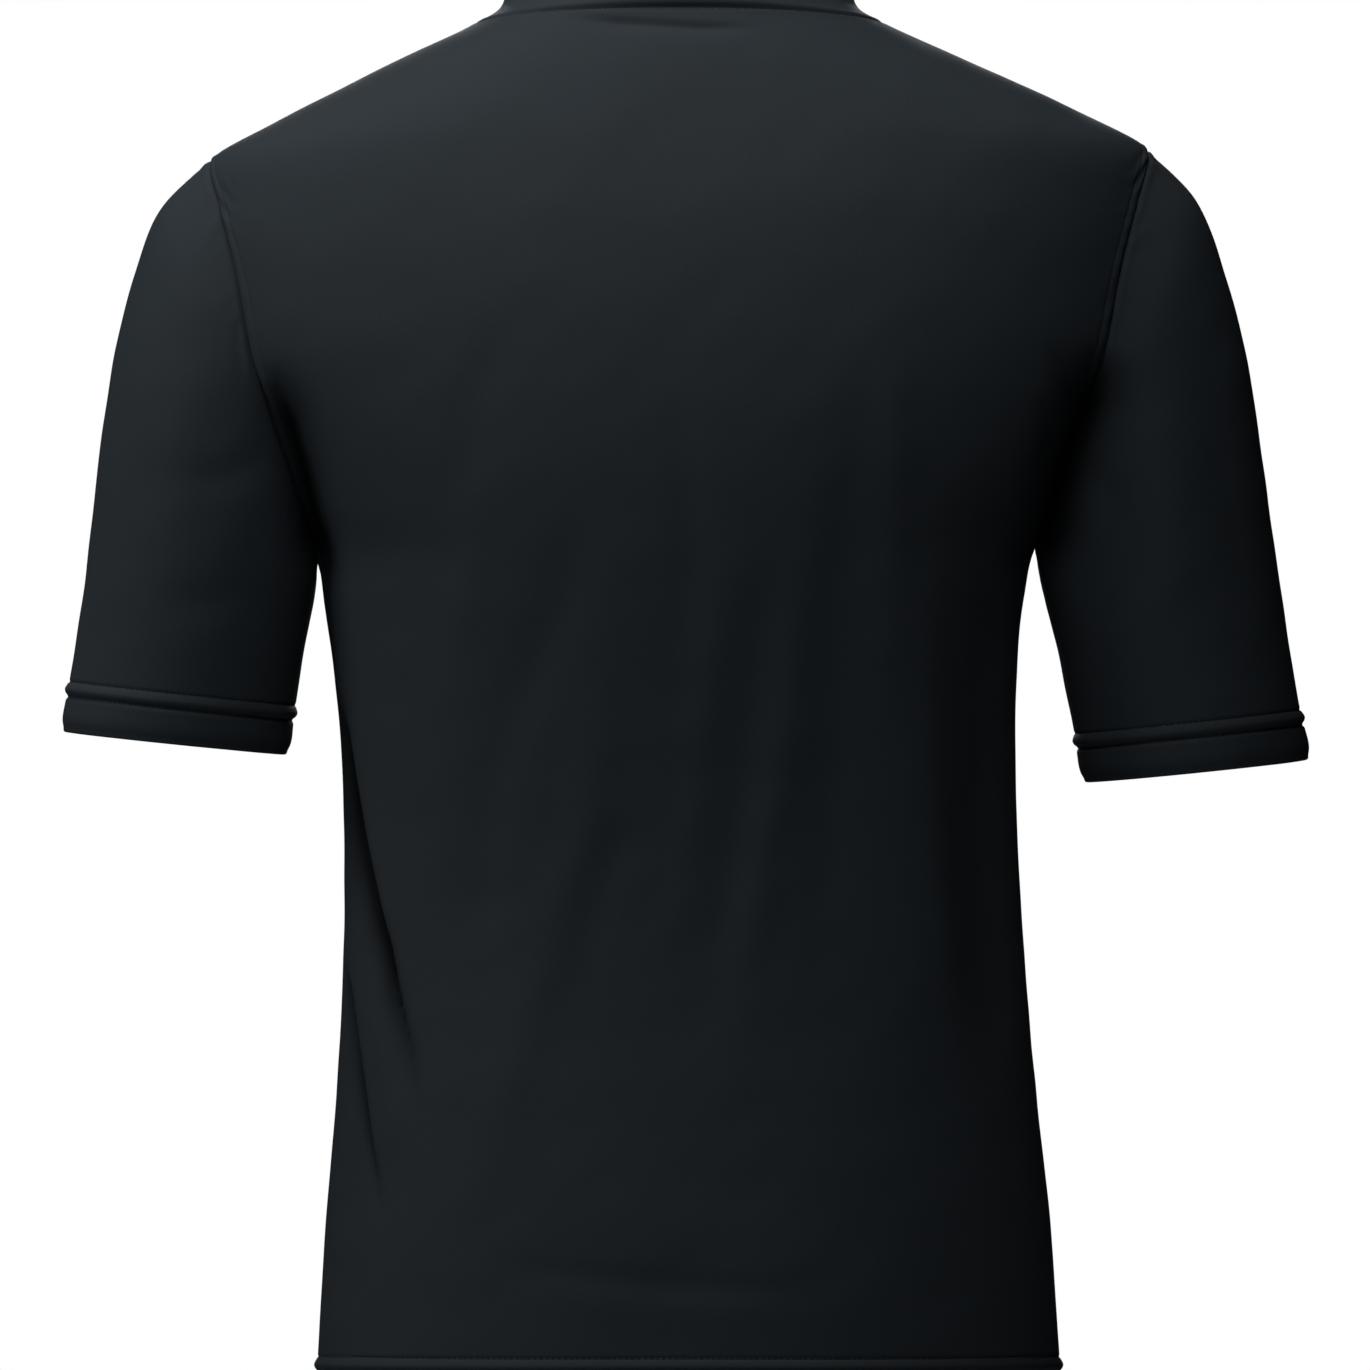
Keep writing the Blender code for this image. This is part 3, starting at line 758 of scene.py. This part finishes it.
# %% Puckers and creased cloth
PUCKER_DEPTH, PUCKER_REACH, PUCKER_PITCH = 0.85 * MM, 9.0 * MM, 12.0 * MM
PUCKER_WANDER, PUCKER_SLANT = 0.9, 0.5  # how uneven the pitch is, and how far a pucker leans
SEAM_HOLD = 2.5 * MM  # how near a seam the cloth is held still
BROAD_SWELL, BROAD_SIZE = 0.35 * MM, 85 * MM
SMALL_SWELL, SMALL_SIZE = 0.16 * MM, 34 * MM
SINE_WAVES = 14
WAVE_SUM = 4.5  # what brings the sum of the waves to between about -1 and 1


def uneven(points, size, seed):
    """A smooth uneven field between about -1 and 1, with bumps of about this size."""
    random = np.random.default_rng(seed)
    total = np.zeros(points.shape[:-1])
    for _ in range(SINE_WAVES):
        way = random.normal(size=3)
        way *= random.uniform(0.6, 1.5) * 2 * math.pi / (size * np.linalg.norm(way))
        total += np.sin(points @ way + random.uniform(0, 2 * math.pi))
    return total / WAVE_SUM


def along_armhole(row_count, late, fade_in, past, fade_out):
    """1 on the rows that end at the armhole and 0 on the others, fading over some rows at both ends."""
    rows = np.arange(row_count)[:, None]
    return ease((rows - ARMHOLE_START - late) / fade_in) * ease((ARMHOLE_END + past - rows) / fade_out)


def puckers(name, form, far):
    """Small uneven waves along the armhole seams, slanting away from the seam and dying out."""
    if name == "collar":
        return np.zeros(form.shape[:2])
    if name in ("back", "front"):
        at_armhole, up = along_armhole(len(form), -6, 12, 0, 12), far["hem"]
        ways = [(far["first_side"], up[:, :1]), (far["last_side"], up[:, -1:])]
    else:
        at_armhole = 1
        ways = [(far["bottom"], length_along(form, axis=1)[:1])]
    total = 0
    for away, along in ways:
        phase = (along + PUCKER_SLANT * away) / PUCKER_PITCH + PUCKER_WANDER * uneven(form, 60 * MM, 21)
        wave = np.sin(2 * math.pi * phase) * (0.6 + 0.6 * uneven(form, 45 * MM, 22))
        total = total + wave * np.exp(-away / PUCKER_REACH)
    return PUCKER_DEPTH * at_armhole * total


cloth = {}
for name, form in forms.items():
    facing, far = directions(form, IS_TUBE[name]), seam_far[name]
    nearest = np.minimum.reduce([distance for edge, distance in far.items() if edge != "hem"])
    free = (1 - np.exp(-((nearest / SEAM_HOLD) ** 2)))[..., None]
    bent, crease_painted_shade = creased(name, form, facing)
    # Painted shade: the sharpest creases darken the cloth's colour towards their bottom, as the shared folds
    # do.
    painted_fold_shade[name] = np.maximum(painted_fold_shade[name], crease_painted_shade)
    swell = BROAD_SWELL * uneven(form, BROAD_SIZE, 3) + SMALL_SWELL * uneven(form, SMALL_SIZE, 8)
    swell += puckers(name, form, far)
    bent = form + (bent - form + facing * swell[..., None]) * free
    cloth[name] = (bent, far)
print("cloth creased:", list(cloth))

# %% [markdown]
# ## Seams, hems and needle lines
#
# On the outside a seam is a narrow groove, where both pieces roll in, between two slightly puffed
# edges. The shirt's hems are turned up 25 mm and held by a twin needle, whose two lines pull the cloth
# in: a thin line at the raw edge of the turned-up cloth, a puffed ridge, and a deeper groove 8 mm
# further down. Each is a bell-shaped curve of the distance from the edge, added to the cloth's surface.

# %% Profiles across the seams
HEM_DEPTH = 25.0 * MM
LOWER_NEEDLE = 17.2 * MM
ALLOWANCE = 6.6 * MM
JERSEY_THICKNESS = 0.9 * MM
BAND_THICKNESS = 1.7 * MM


def bell(distance, middle, width):
    return np.exp(-(((distance - middle) / width) ** 2))


def seam_profile(distance):
    """The groove of a seam, with its puffed side."""
    return -0.85 * MM * bell(distance, 0, 1.0 * MM) + 0.22 * MM * bell(distance, 3.0 * MM, 1.7 * MM)


def allowance_profile(distance):
    """The edge of the seam allowance, which shows as a second line beside the armhole seam."""
    return -0.32 * MM * bell(distance, ALLOWANCE, 0.7 * MM) + 0.2 * MM * bell(distance, 4.0 * MM, 1.6 * MM)


def hem_profile(distance):
    """Outwards from the plain cloth, at a distance from the folded edge of a hem."""
    turned_up = 0.35 * MM * ease((HEM_DEPTH - distance) / (1.0 * MM))
    ridge = 1.3 * MM * bell(distance, 21.0 * MM, 2.3 * MM)
    lower = -1.25 * MM * bell(distance, LOWER_NEEDLE, 1.1 * MM)
    upper = -0.6 * MM * bell(distance, HEM_DEPTH, 0.7 * MM)
    puff = 0.4 * MM * bell(distance, 8.0 * MM, 5.0 * MM)
    curl = -1.1 * MM * bell(distance, 0, 3.0 * MM)
    return turned_up + ridge + lower + upper + puff + curl


def hem_thickness(distance):
    """One layer of jersey, two below the raw edge of the hem, and a soft round fold at the bottom."""
    second_layer = JERSEY_THICKNESS * ease((HEM_DEPTH - distance) / (0.8 * MM))
    return JERSEY_THICKNESS + second_layer + 1.6 * MM * bell(distance, 0, 5.0 * MM)


def band_profile(distance):
    """The neck band is folded double, so it stands a little higher than the body beside it."""
    return 0.5 * MM * ease(distance / (3 * MM))


def band_thickness(distance):
    return BAND_THICKNESS + 0.9 * MM * bell(distance, 0, 5 * MM)


print("ridge over the hem in mm:", round(float(hem_profile(np.array(21 * MM)) / MM), 2))

# %% [markdown]
# ## Closed shells
#
# Every piece becomes a closed shell: an outer skin, an inner skin a cloth's thickness inside it, a round
# fold that joins them at the hem, and narrow rims along the sewn edges. The rows of both skins and of
# the fold are stacked into one grid that closes on itself, which makes the faces easy to number. Each
# corner also gets a place on the flat cloth, in metres, for the knit to follow.

# %% Rows of a shell, and its place on the flat cloth
FOLD_STEPS = np.linspace(0, math.pi, 8)[1:-1]


def round_fold(outer, inner, before):
    """Points round the folded edge, from the outer skin to the inner one."""
    middle, half = (outer + inner) / 2, (outer - inner) / 2
    way = outer - before
    way -= half * (way * half).sum(-1, keepdims=True) / (half**2).sum(-1, keepdims=True)
    way *= np.linalg.norm(half, axis=-1, keepdims=True) / np.linalg.norm(way, axis=-1, keepdims=True)
    return np.stack([middle + half * math.cos(a) + way * math.sin(a) for a in FOLD_STEPS])


def stacked(outer, inner, shade, tube):
    """Both skins and the fold as one grid, the painted fold shade of its points, and its rows on the flat
    cloth.
    """
    up, down = np.arange(len(outer)), np.arange(len(outer))[::-1]
    if tube:  # the fold is at the cuff, or along the neck band's free edge
        fold = round_fold(outer[-1], inner[-1], outer[-2])
        plain = 0 * fold[..., 0]
        shades = [shade, plain, 0 * shade]
        return np.concatenate([outer, fold, inner[::-1]]), shades, [*up, *[up[-1]] * len(fold), *down]
    fold = round_fold(outer[0], inner[0], outer[1])[::-1]
    shades = [shade, 0 * shade, 0 * fold[..., 0]]
    return np.concatenate([outer, inner[::-1], fold]), shades, [*up, *down, *[0] * len(fold)]


def flat_cloth(outer, tube):
    """Where each point of the outer skin lies on the flat cloth; a tube is cut open down one column."""
    closed = np.concatenate([outer, outer[:, :1]], axis=1) if tube else outer
    up, over = length_along(closed), length_along(closed, axis=1)
    return np.stack([over + 0.5 if tube else over - over[:, [-1]] / 2 + 0.5, up], axis=-1)


print("fold steps:", len(FOLD_STEPS))

# %% Faces of a shell
SMOOTH_UP_TO = math.radians(55)  # sharper edges between faces stay sharp


def shell_corners(rows, columns, skin_rows, tube):
    """Groups of faces, each as the rows and the columns of the faces' corners."""
    r, c = np.meshgrid(np.arange(rows), np.arange(columns if tube else columns - 1), indexing="ij")
    corner_rows = np.stack([r, r, r + 1, r + 1], axis=-1) % rows
    corner_columns = np.stack([c, c + 1, c + 1, c], axis=-1)
    groups = [(corner_rows.reshape(-1, 4), corner_columns.reshape(-1, 4))]
    if tube:
        return groups
    low = np.arange(skin_rows - 1)
    back_again = 2 * skin_rows - 1 - low
    rim = np.stack([low, low + 1, back_again - 1, back_again], axis=-1)
    fold_end = np.array([[*range(2 * skin_rows - 1, rows), 0]])
    for edge in (rim, fold_end):  # down both sides of a panel
        groups.append((edge, np.zeros_like(edge)))
        groups.append((edge[:, ::-1], np.full_like(edge, columns - 1)))
    return groups


def shell(name, outer, inner, tube, shade):
    """A closed shell of cloth, as an object."""
    stack, shades, flat_rows = stacked(outer, inner, shade, tube)
    rows, columns = stack.shape[:2]
    flat_rows, flat_points = np.array(flat_rows), flat_cloth(outer, tube)
    faces, flat = [], []
    for face_rows, face_columns in shell_corners(rows, columns, len(outer), tube):
        faces += (face_rows * columns + face_columns % columns).tolist()
        flat.append(flat_points[flat_rows[face_rows], face_columns].ravel())
    mesh = bpy.data.meshes.new(name)
    mesh.from_pydata(stack.reshape(-1, 3).tolist(), [], faces)
    flat = np.concatenate(flat).astype(np.float32)
    shades = np.concatenate(shades).astype(np.float32).ravel()
    mesh.uv_layers.new(name="cloth_flat").data.foreach_set("uv", flat)
    # The painted fold shade goes onto the points, so that the cloth's colour darkens towards the bottom of
    # tight folds.
    mesh.attributes.new("painted_fold_shade", "FLOAT", "POINT").data.foreach_set("value", shades)
    mesh.shade_smooth()
    mesh.set_sharp_from_angle(angle=SMOOTH_UP_TO)
    piece = bpy.data.objects.new(name, mesh)
    bpy.context.scene.collection.objects.link(piece)
    return piece


print("faces of a small panel shell:", sum(len(group[0]) for group in shell_corners(12, 5, 3, False)))

# %% [markdown]
# ## The five cut pieces
#
# Each piece now gets its relief: the seam grooves on every sewn edge, the hem or the neck band's
# fullness, and beside the armholes the line of the seam allowance underneath. The outer skin is moved
# by the relief. The inner skin only follows the cloth's thickness, which doubles over a hem.

# %% Build the five pieces
CUT_PIECES = {
    "back": "back_panel",
    "front": "front_panel",
    "sleeve_left": "left_sleeve",
    "sleeve_right": "right_sleeve",
    "collar": "neck_band",
}


def relief(name, far):
    """How far the outer skin stands out from the plain cloth, and how thick the cloth is."""
    lift = sum(seam_profile(distance) for edge, distance in far.items() if edge != "hem")
    if name == "collar":
        return lift + band_profile(far["bottom"]), band_thickness(far["hem"])
    lift += hem_profile(far["hem"])
    if name in ("back", "front"):
        allowance = allowance_profile(far["first_side"]) + allowance_profile(far["last_side"])
        lift += along_armhole(len(lift), 4, 14, 2, 10) * allowance
    return lift, hem_thickness(far["hem"])


pieces = {}
surfaces = {}
for name, (grid, far) in cloth.items():
    facing = pulled_together(name, directions(grid, IS_TUBE[name]), far)
    lift, thick = relief(name, far)
    outer = grid + facing * lift[..., None]
    inner = grid - facing * thick[..., None]
    surfaces[name] = (grid, facing, lift, far)
    pieces[name] = shell(CUT_PIECES[name], outer, inner, IS_TUBE[name], painted_fold_shade[name])
    print(name, "triangles:", sum(len(p.vertices) - 2 for p in pieces[name].data.polygons))

# %% [markdown]
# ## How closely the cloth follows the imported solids
#
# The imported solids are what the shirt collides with, so the cloth has to lie on them. The distance to the
# solid is measured here from every seventh point of each surface; folds and hems account for most of it.

# %% Distance from the solids
for name, (grid, facing, lift, _) in surfaces.items():
    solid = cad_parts[name].data
    tree = BVHTree.FromPolygons([v.co for v in solid.vertices], [p.vertices for p in solid.polygons])
    points = (grid + facing * lift[..., None]).reshape(-1, 3)[::7]
    away = np.array([tree.find_nearest(Vector(p))[3] for p in points]) / MM
    print(name, "from its solid in mm: mean", round(away.mean(), 2), "most", round(away.max(), 2))

# %% [markdown]
# ## The knit
#
# The cloth is a black interlock knit: columns of small V-shaped loops, about a millimetre apart, so
# fine that from a few steps away only a soft matt surface shows. The loops are worked out from the flat
# cloth coordinates, with the column's leg bulging across it and the loop's wave running up it, and go to
# the bump, and to the colour as a painted shade that is darker in the gaps between them.

# %% Knit height
WALE = 0.95 * MM  # from one column of loops to the next
COURSE = 0.8 * MM  # from one row of loops to the next


def knit_height(tree, wale, course):
    """Loops of a knit, from 0 in the gaps to 1 on the yarn, on the flat cloth."""
    flat = add_node(tree, "ShaderNodeUVMap", {"uv_map": "cloth_flat"}, {})
    across_cloth = add_node(tree, "ShaderNodeSeparateXYZ", {}, {0: flat}, "X")
    column, row = across_cloth / wale, across_cloth.output("Y") / course
    from_middle = abs(column.fraction() - 0.5) * 2
    leg = 1 - from_middle * from_middle
    loop = ((row + from_middle * 0.55) * (2 * math.pi)).sine() * 0.5 + 0.5
    return leg * 0.6 + loop * 0.4


def noise(tree, scale, detail, roughness):
    """Noise through the piece's own space, from about 0 to 1."""
    place = add_node(tree, "ShaderNodeTexCoord", {}, {}, "Object")
    inputs = {"Vector": place, "Scale": scale, "Detail": detail, "Roughness": roughness}
    return add_node(tree, "ShaderNodeTexNoise", {}, inputs)


print("loops to the metre:", round(1 / WALE), "across and", round(1 / COURSE), "along")

# %% [markdown]
# ## Jersey and rib
#
# Two sizes of noise vary the colour and the roughness a little, as dye and wear do. The knit's loops
# darken the colour a little in their gaps, a painted shade, and at the bottom of a tight fold the colour
# goes almost to black, also a painted shade, because soft lights alone would leave it grey. Sheen and
# specular are almost nothing, because this cloth is matt, and a rim of light along every fold would make
# it look like satin.

# %% Cloth finishes
DEEP_SHADE = 0.9  # how far the colour goes to the painted shadow colour at the bottom of a tight fold
PAINTED_FOLD_SHADOW = (0.0008, 0.0009, 0.0010, 1)
DARKER, LIGHTER = 0.55, 1.45  # the range that the noise, as dye and wear, and the knit, as painted shade, vary the colour over
KNIT_DEPTH = 0.10 * MM
BUMP_STRENGTH = 0.35
SPECULAR, SHEEN, SHEEN_ROUGHNESS, SHEEN_TINT = 0.03, 0.004, 0.5, (0.75, 0.85, 1.0, 1)


def cloth_finish(name, colour, wale, roughness):
    """A knit of one colour, with wales this far apart."""
    material, tree, shader = new_material(name)
    broad, fine = noise(tree, 9.0, 3.0, 0.55), noise(tree, 900.0, 2.0, 0.6)
    knit = knit_height(tree, wale, COURSE)
    # Painted shade of the knit: the colour is a little lighter on the yarn and darker in the gaps between
    # loops; the noise stands for dye and wear.
    shade = 0.86 + broad * 0.14 + fine * 0.10 + knit * 0.08
    dark, light = ((*[level * part for part in colour], 1) for level in (DARKER, LIGHTER))
    base = mix_colour(tree, shade - 0.5, dark, light)
    # Painted shade: towards the bottom of a tight fold the colour goes almost to black.
    painted_shade_in_fold = add_node(tree, "ShaderNodeAttribute", {"attribute_name": "painted_fold_shade"}, {}, "Fac")
    base = mix_colour(tree, painted_shade_in_fold * DEEP_SHADE, base, PAINTED_FOLD_SHADOW)
    rough = roughness + (broad - 0.5) * 0.12 + (fine - 0.5) * 0.08
    relief_inputs = {"Strength": BUMP_STRENGTH, "Distance": KNIT_DEPTH, "Height": knit + fine * 0.6}
    bump = add_node(tree, "ShaderNodeBump", {}, relief_inputs)
    for socket, value in {"Base Color": base, "Roughness": rough, "Normal": bump}.items():
        tree.links.new(value.socket, shader.inputs[socket])
    shader.inputs["Sheen Weight"].default_value = SHEEN
    shader.inputs["Sheen Roughness"].default_value = SHEEN_ROUGHNESS
    shader.inputs["Sheen Tint"].default_value = SHEEN_TINT
    shader.inputs["Specular IOR Level"].default_value = SPECULAR
    return material


jersey = cloth_finish("black_jersey", (0.0195, 0.0243, 0.0284), WALE, 0.66)
band_rib = cloth_finish("black_neck_rib", (0.0200, 0.0250, 0.0292), 0.85 * WALE, 0.64)
for name, piece in pieces.items():
    piece.data.materials.append(band_rib if name == "collar" else jersey)
print("finishes:", jersey.name, band_rib.name)

# %% [markdown]
# ## Stitches
#
# Each hem is held by two needle lines of short straight stitches, and the neck seam is topstitched on
# the body side. Geometry Nodes lay them: a line of points over the cloth becomes a curve, the curve is
# cut into equal steps, and one small stitch, thicker in its middle, is set at every step and turned
# along the line, each a little longer or shorter than the next. The instances are then made real,
# because the export keeps only real faces.

# %% Stitch nodes
STITCHES = {  # pitch, length and width, in millimetres
    "hem": (3.1, 2.5, 0.42),
    "neck": (2.0, 1.5, 0.40),
}
SHORTEST_STITCH, LONGEST_STITCH = 0.88, 1.1  # of its length


def stitch_tree():
    """A tree that lays stitches along the lines of a mesh, and its inputs' identifiers."""
    tree = bpy.data.node_groups.new("stitch_lines", "GeometryNodeTree")
    tree.interface.new_socket(name="Geometry", in_out="INPUT", socket_type="NodeSocketGeometry")
    tree.interface.new_socket(name="Geometry", in_out="OUTPUT", socket_type="NodeSocketGeometry")
    kinds = {"Pitch": "Float", "Length": "Float", "Width": "Float", "Seed": "Int", "Thread": "Material"}
    names = {}
    for name, kind in kinds.items():
        socket = tree.interface.new_socket(name=name, in_out="INPUT", socket_type="NodeSocket" + kind)
        names[name] = socket.identifier
    given = tree.nodes.new("NodeGroupInput")
    lines, pitch, length, width, seed, thread = (Value(tree, socket) for socket in given.outputs[:6])

    def part(kind, settings=None, **inputs):
        return add_node(tree, kind, settings or {}, inputs)

    curve = part("GeometryNodeMeshToCurve", Mesh=lines)
    steps = part("GeometryNodeResampleCurve", {"mode": "LENGTH"}, Curve=curve, Length=pitch)
    bead = part("GeometryNodeMeshUVSphere", Segments=6, Rings=4, Radius=0.5)
    size = part("ShaderNodeCombineXYZ", X=length, Y=width, Z=width)
    stitch = part("GeometryNodeTransform", Geometry=bead, Scale=size)
    along = part("GeometryNodeInputTangent")
    turned = part("FunctionNodeAlignRotationToVector", {"axis": "X"}, Vector=along)
    range_of_size = {2: SHORTEST_STITCH, 3: LONGEST_STITCH, "Seed": seed}
    jitter = add_node(tree, "FunctionNodeRandomValue", {"data_type": "FLOAT"}, range_of_size, 1)
    laid = part("GeometryNodeInstanceOnPoints", Points=steps, Instance=stitch, Rotation=turned, Scale=jitter)
    real = part("GeometryNodeRealizeInstances", Geometry=laid)
    done = part("GeometryNodeSetMaterial", Geometry=real, Material=thread)
    add_node(tree, "NodeGroupOutput", {}, {0: done})
    return tree, names


stitch_lines, stitch_inputs = stitch_tree()
print("stitch inputs:", list(stitch_inputs))

# %% [markdown]
# ## Needle lines over the cloth
#
# A needle line keeps the same distance from the folded edge all the way round, so its points come from
# the distances over the cloth that shaped the hem, one point for each column. The line is lifted by a
# hair, or the stitches would sink into their own groove.

# %% A line of stitches
HEM_LIFT, NECK_LIFT = 0.12 * MM, 0.1 * MM
STITCH_SEED = 5


def line_at(name, edge, distance, lift):
    """Points on a piece's outer face at a distance from one of its edges, one for each column."""
    grid, facing, height, far = surfaces[name]
    outer = grid + facing * (height[..., None] + lift)
    line = []
    for c in range(outer.shape[1]):
        away = far[edge][:, c]
        order = np.argsort(away)
        line.append([np.interp(distance, away[order], outer[order, c, k]) for k in range(3)])
    return np.array(line)


def sewn_line(name, lines, kind, finish):
    """Stitches along closed lines of points, as one plain mesh."""
    points, edges = [], []
    for line in lines:
        start = len(points)
        points += line.tolist()
        edges += [(start + k, start + (k + 1) % len(line)) for k in range(len(line))]
    guide = bpy.data.meshes.new(name + "_guide")
    guide.from_pydata(points, edges, [])
    piece = bpy.data.objects.new(name, guide)
    bpy.context.scene.collection.objects.link(piece)
    modifier = piece.modifiers.new("stitches", "NODES")
    modifier.node_group = stitch_lines
    pitch, length, width = (size * MM for size in STITCHES[kind])
    given = {"Pitch": pitch, "Length": length, "Width": width, "Seed": STITCH_SEED, "Thread": finish}
    for key, value in given.items():
        modifier[stitch_inputs[key]] = value
    graph = bpy.context.evaluated_depsgraph_get()
    mesh = bpy.data.meshes.new_from_object(piece.evaluated_get(graph))
    piece.modifiers.remove(modifier)
    piece.data = mesh
    bpy.data.meshes.remove(guide)
    mesh.shade_smooth()
    print(name, "stitch faces:", len(mesh.polygons))
    return piece


print("one hem line has", len(line_at("back", "hem", HEM_DEPTH, HEM_LIFT)), "points on the back")

# %% [markdown]
# ## Thread
#
# The thread is polyester: a little smoother and glossier than the jersey, and twisted, which a very
# fine noise stands for at this size.

# %% Thread finish
THREAD_DARK, THREAD_LIGHT = (0.010, 0.012, 0.014, 1), (0.026, 0.030, 0.034, 1)
thread, thread_tree, thread_shader = new_material("black_thread")
twist = noise(thread_tree, 1500.0, 2.0, 0.5)
thread_colour = mix_colour(thread_tree, twist, THREAD_DARK, THREAD_LIGHT)
thread_rough = 0.42 + twist * 0.2
thread_tree.links.new(thread_colour.socket, thread_shader.inputs["Base Color"])
thread_tree.links.new(thread_rough.socket, thread_shader.inputs["Roughness"])
print("thread:", thread.name)

# %% [markdown]
# ## Hems, cuffs and neck
#
# The hem's lines run right round the shirt, over the back and the front, and stay one piece, as one
# seam does. Each cuff has its own pair. The neck seam has a single row, just below the band, which holds
# the seam allowance down.

# %% Lay the stitches
NECK_NEEDLE = 1.9 * MM  # below the neck seam
CUFF_AND_HEM = (HEM_DEPTH, LOWER_NEEDLE)


def round_the_body(edge, distance, lift):
    """A closed line over the back and the front."""
    back, front = (line_at(side, edge, distance, lift) for side in ("back", "front"))
    return np.concatenate([back, front[1:-1]])


hem_lines = [round_the_body("hem", distance, HEM_LIFT) for distance in CUFF_AND_HEM]
stitching = {"hem_stitches": (sewn_line("hem_stitches", hem_lines, "hem", thread), "back")}
for hand in ("left", "right"):
    sleeve, cuff_name = "sleeve_" + hand, hand + "_cuff_stitches"
    cuff_lines = [line_at(sleeve, "hem", distance, HEM_LIFT) for distance in CUFF_AND_HEM]
    stitching[cuff_name] = (sewn_line(cuff_name, cuff_lines, "hem", thread), sleeve)
neck_line = round_the_body("top", NECK_NEEDLE, NECK_LIFT)
stitching["neck_stitches"] = (sewn_line("neck_stitches", [neck_line], "neck", thread), "collar")

# %% [markdown]
# ## The cloth each piece was cut from
#
# Every piece rides on the shirt's one body, and its imported solid is hidden. The size each piece was
# cut to is worked out here. A panel is measured round the body below the armholes and down its middle, a
# sleeve round the arm and down its outside, and 10 mm is added for each seam and 25 mm for each
# turned-up hem. The area is less than that rectangle, because armholes and neck are cut away. The neck
# band gives only its outer half, which is what shows, and no area.

# %% Size of each cut
SEAM_ALLOWANCE = 10.0 * MM
BAND_ROUND_EDGE = 2 * MM  # the part of the band's fold that still shows, past its last row


def cut_of(name):
    """(widest, longest, area) of the flat cut, allowances included."""
    grid = surfaces[name][0]
    flat = flat_cloth(grid, IS_TUBE[name])
    rings, lines = np.ptp(flat[..., 0], axis=1), length_along(grid)[-1]
    if name == "collar":
        return float(rings.max()), float(lines.max()) + BAND_ROUND_EDGE, None
    if name in ("back", "front"):
        wide, long = rings[ARMHOLE_START], lines[len(lines) // 2]
        if name == "front":
            long += FRONT_NECK_DROP
    else:
        wide, long = rings[len(rings) // 3], lines.max()
    steps = np.cross(np.diff(grid, axis=0)[:, :-1], np.diff(grid, axis=1)[:-1])
    area = np.linalg.norm(steps, axis=-1).sum()
    width, length = wide + 2 * SEAM_ALLOWANCE, long + SEAM_ALLOWANCE + HEM_DEPTH
    grown = area * width * length / (wide * long)  # by the share that the allowances add
    return float(width), float(length), float(grown)


cuts = {name: cut_of(name) for name in pieces}
for name, (width, length, _) in cuts.items():
    print(name, "cut in mm:", round(width / MM), "x", round(length / MM))

# %% [markdown]
# ## Bodies
#
# The stitches ride with the shirt as well. Each piece's cut area is printed; the panels and sleeves hang
# from the shoulders, and the neck band is a stretched strip, which keeps its round shape.

for name, piece in pieces.items():
    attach(piece, "root")
    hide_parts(name)
    "neck_band" if name == "collar" else "jersey"
for stitch_piece, on in stitching.values():
    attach(stitch_piece, "root")
for name, (width, length, area) in cuts.items():
    on_it = [stitch_piece for stitch_piece, on in stitching.values() if on == name]
    held = "stretched" if name == "collar" else "hung"
    print(name, "area:", "not stated" if area is None else round(area, 4))
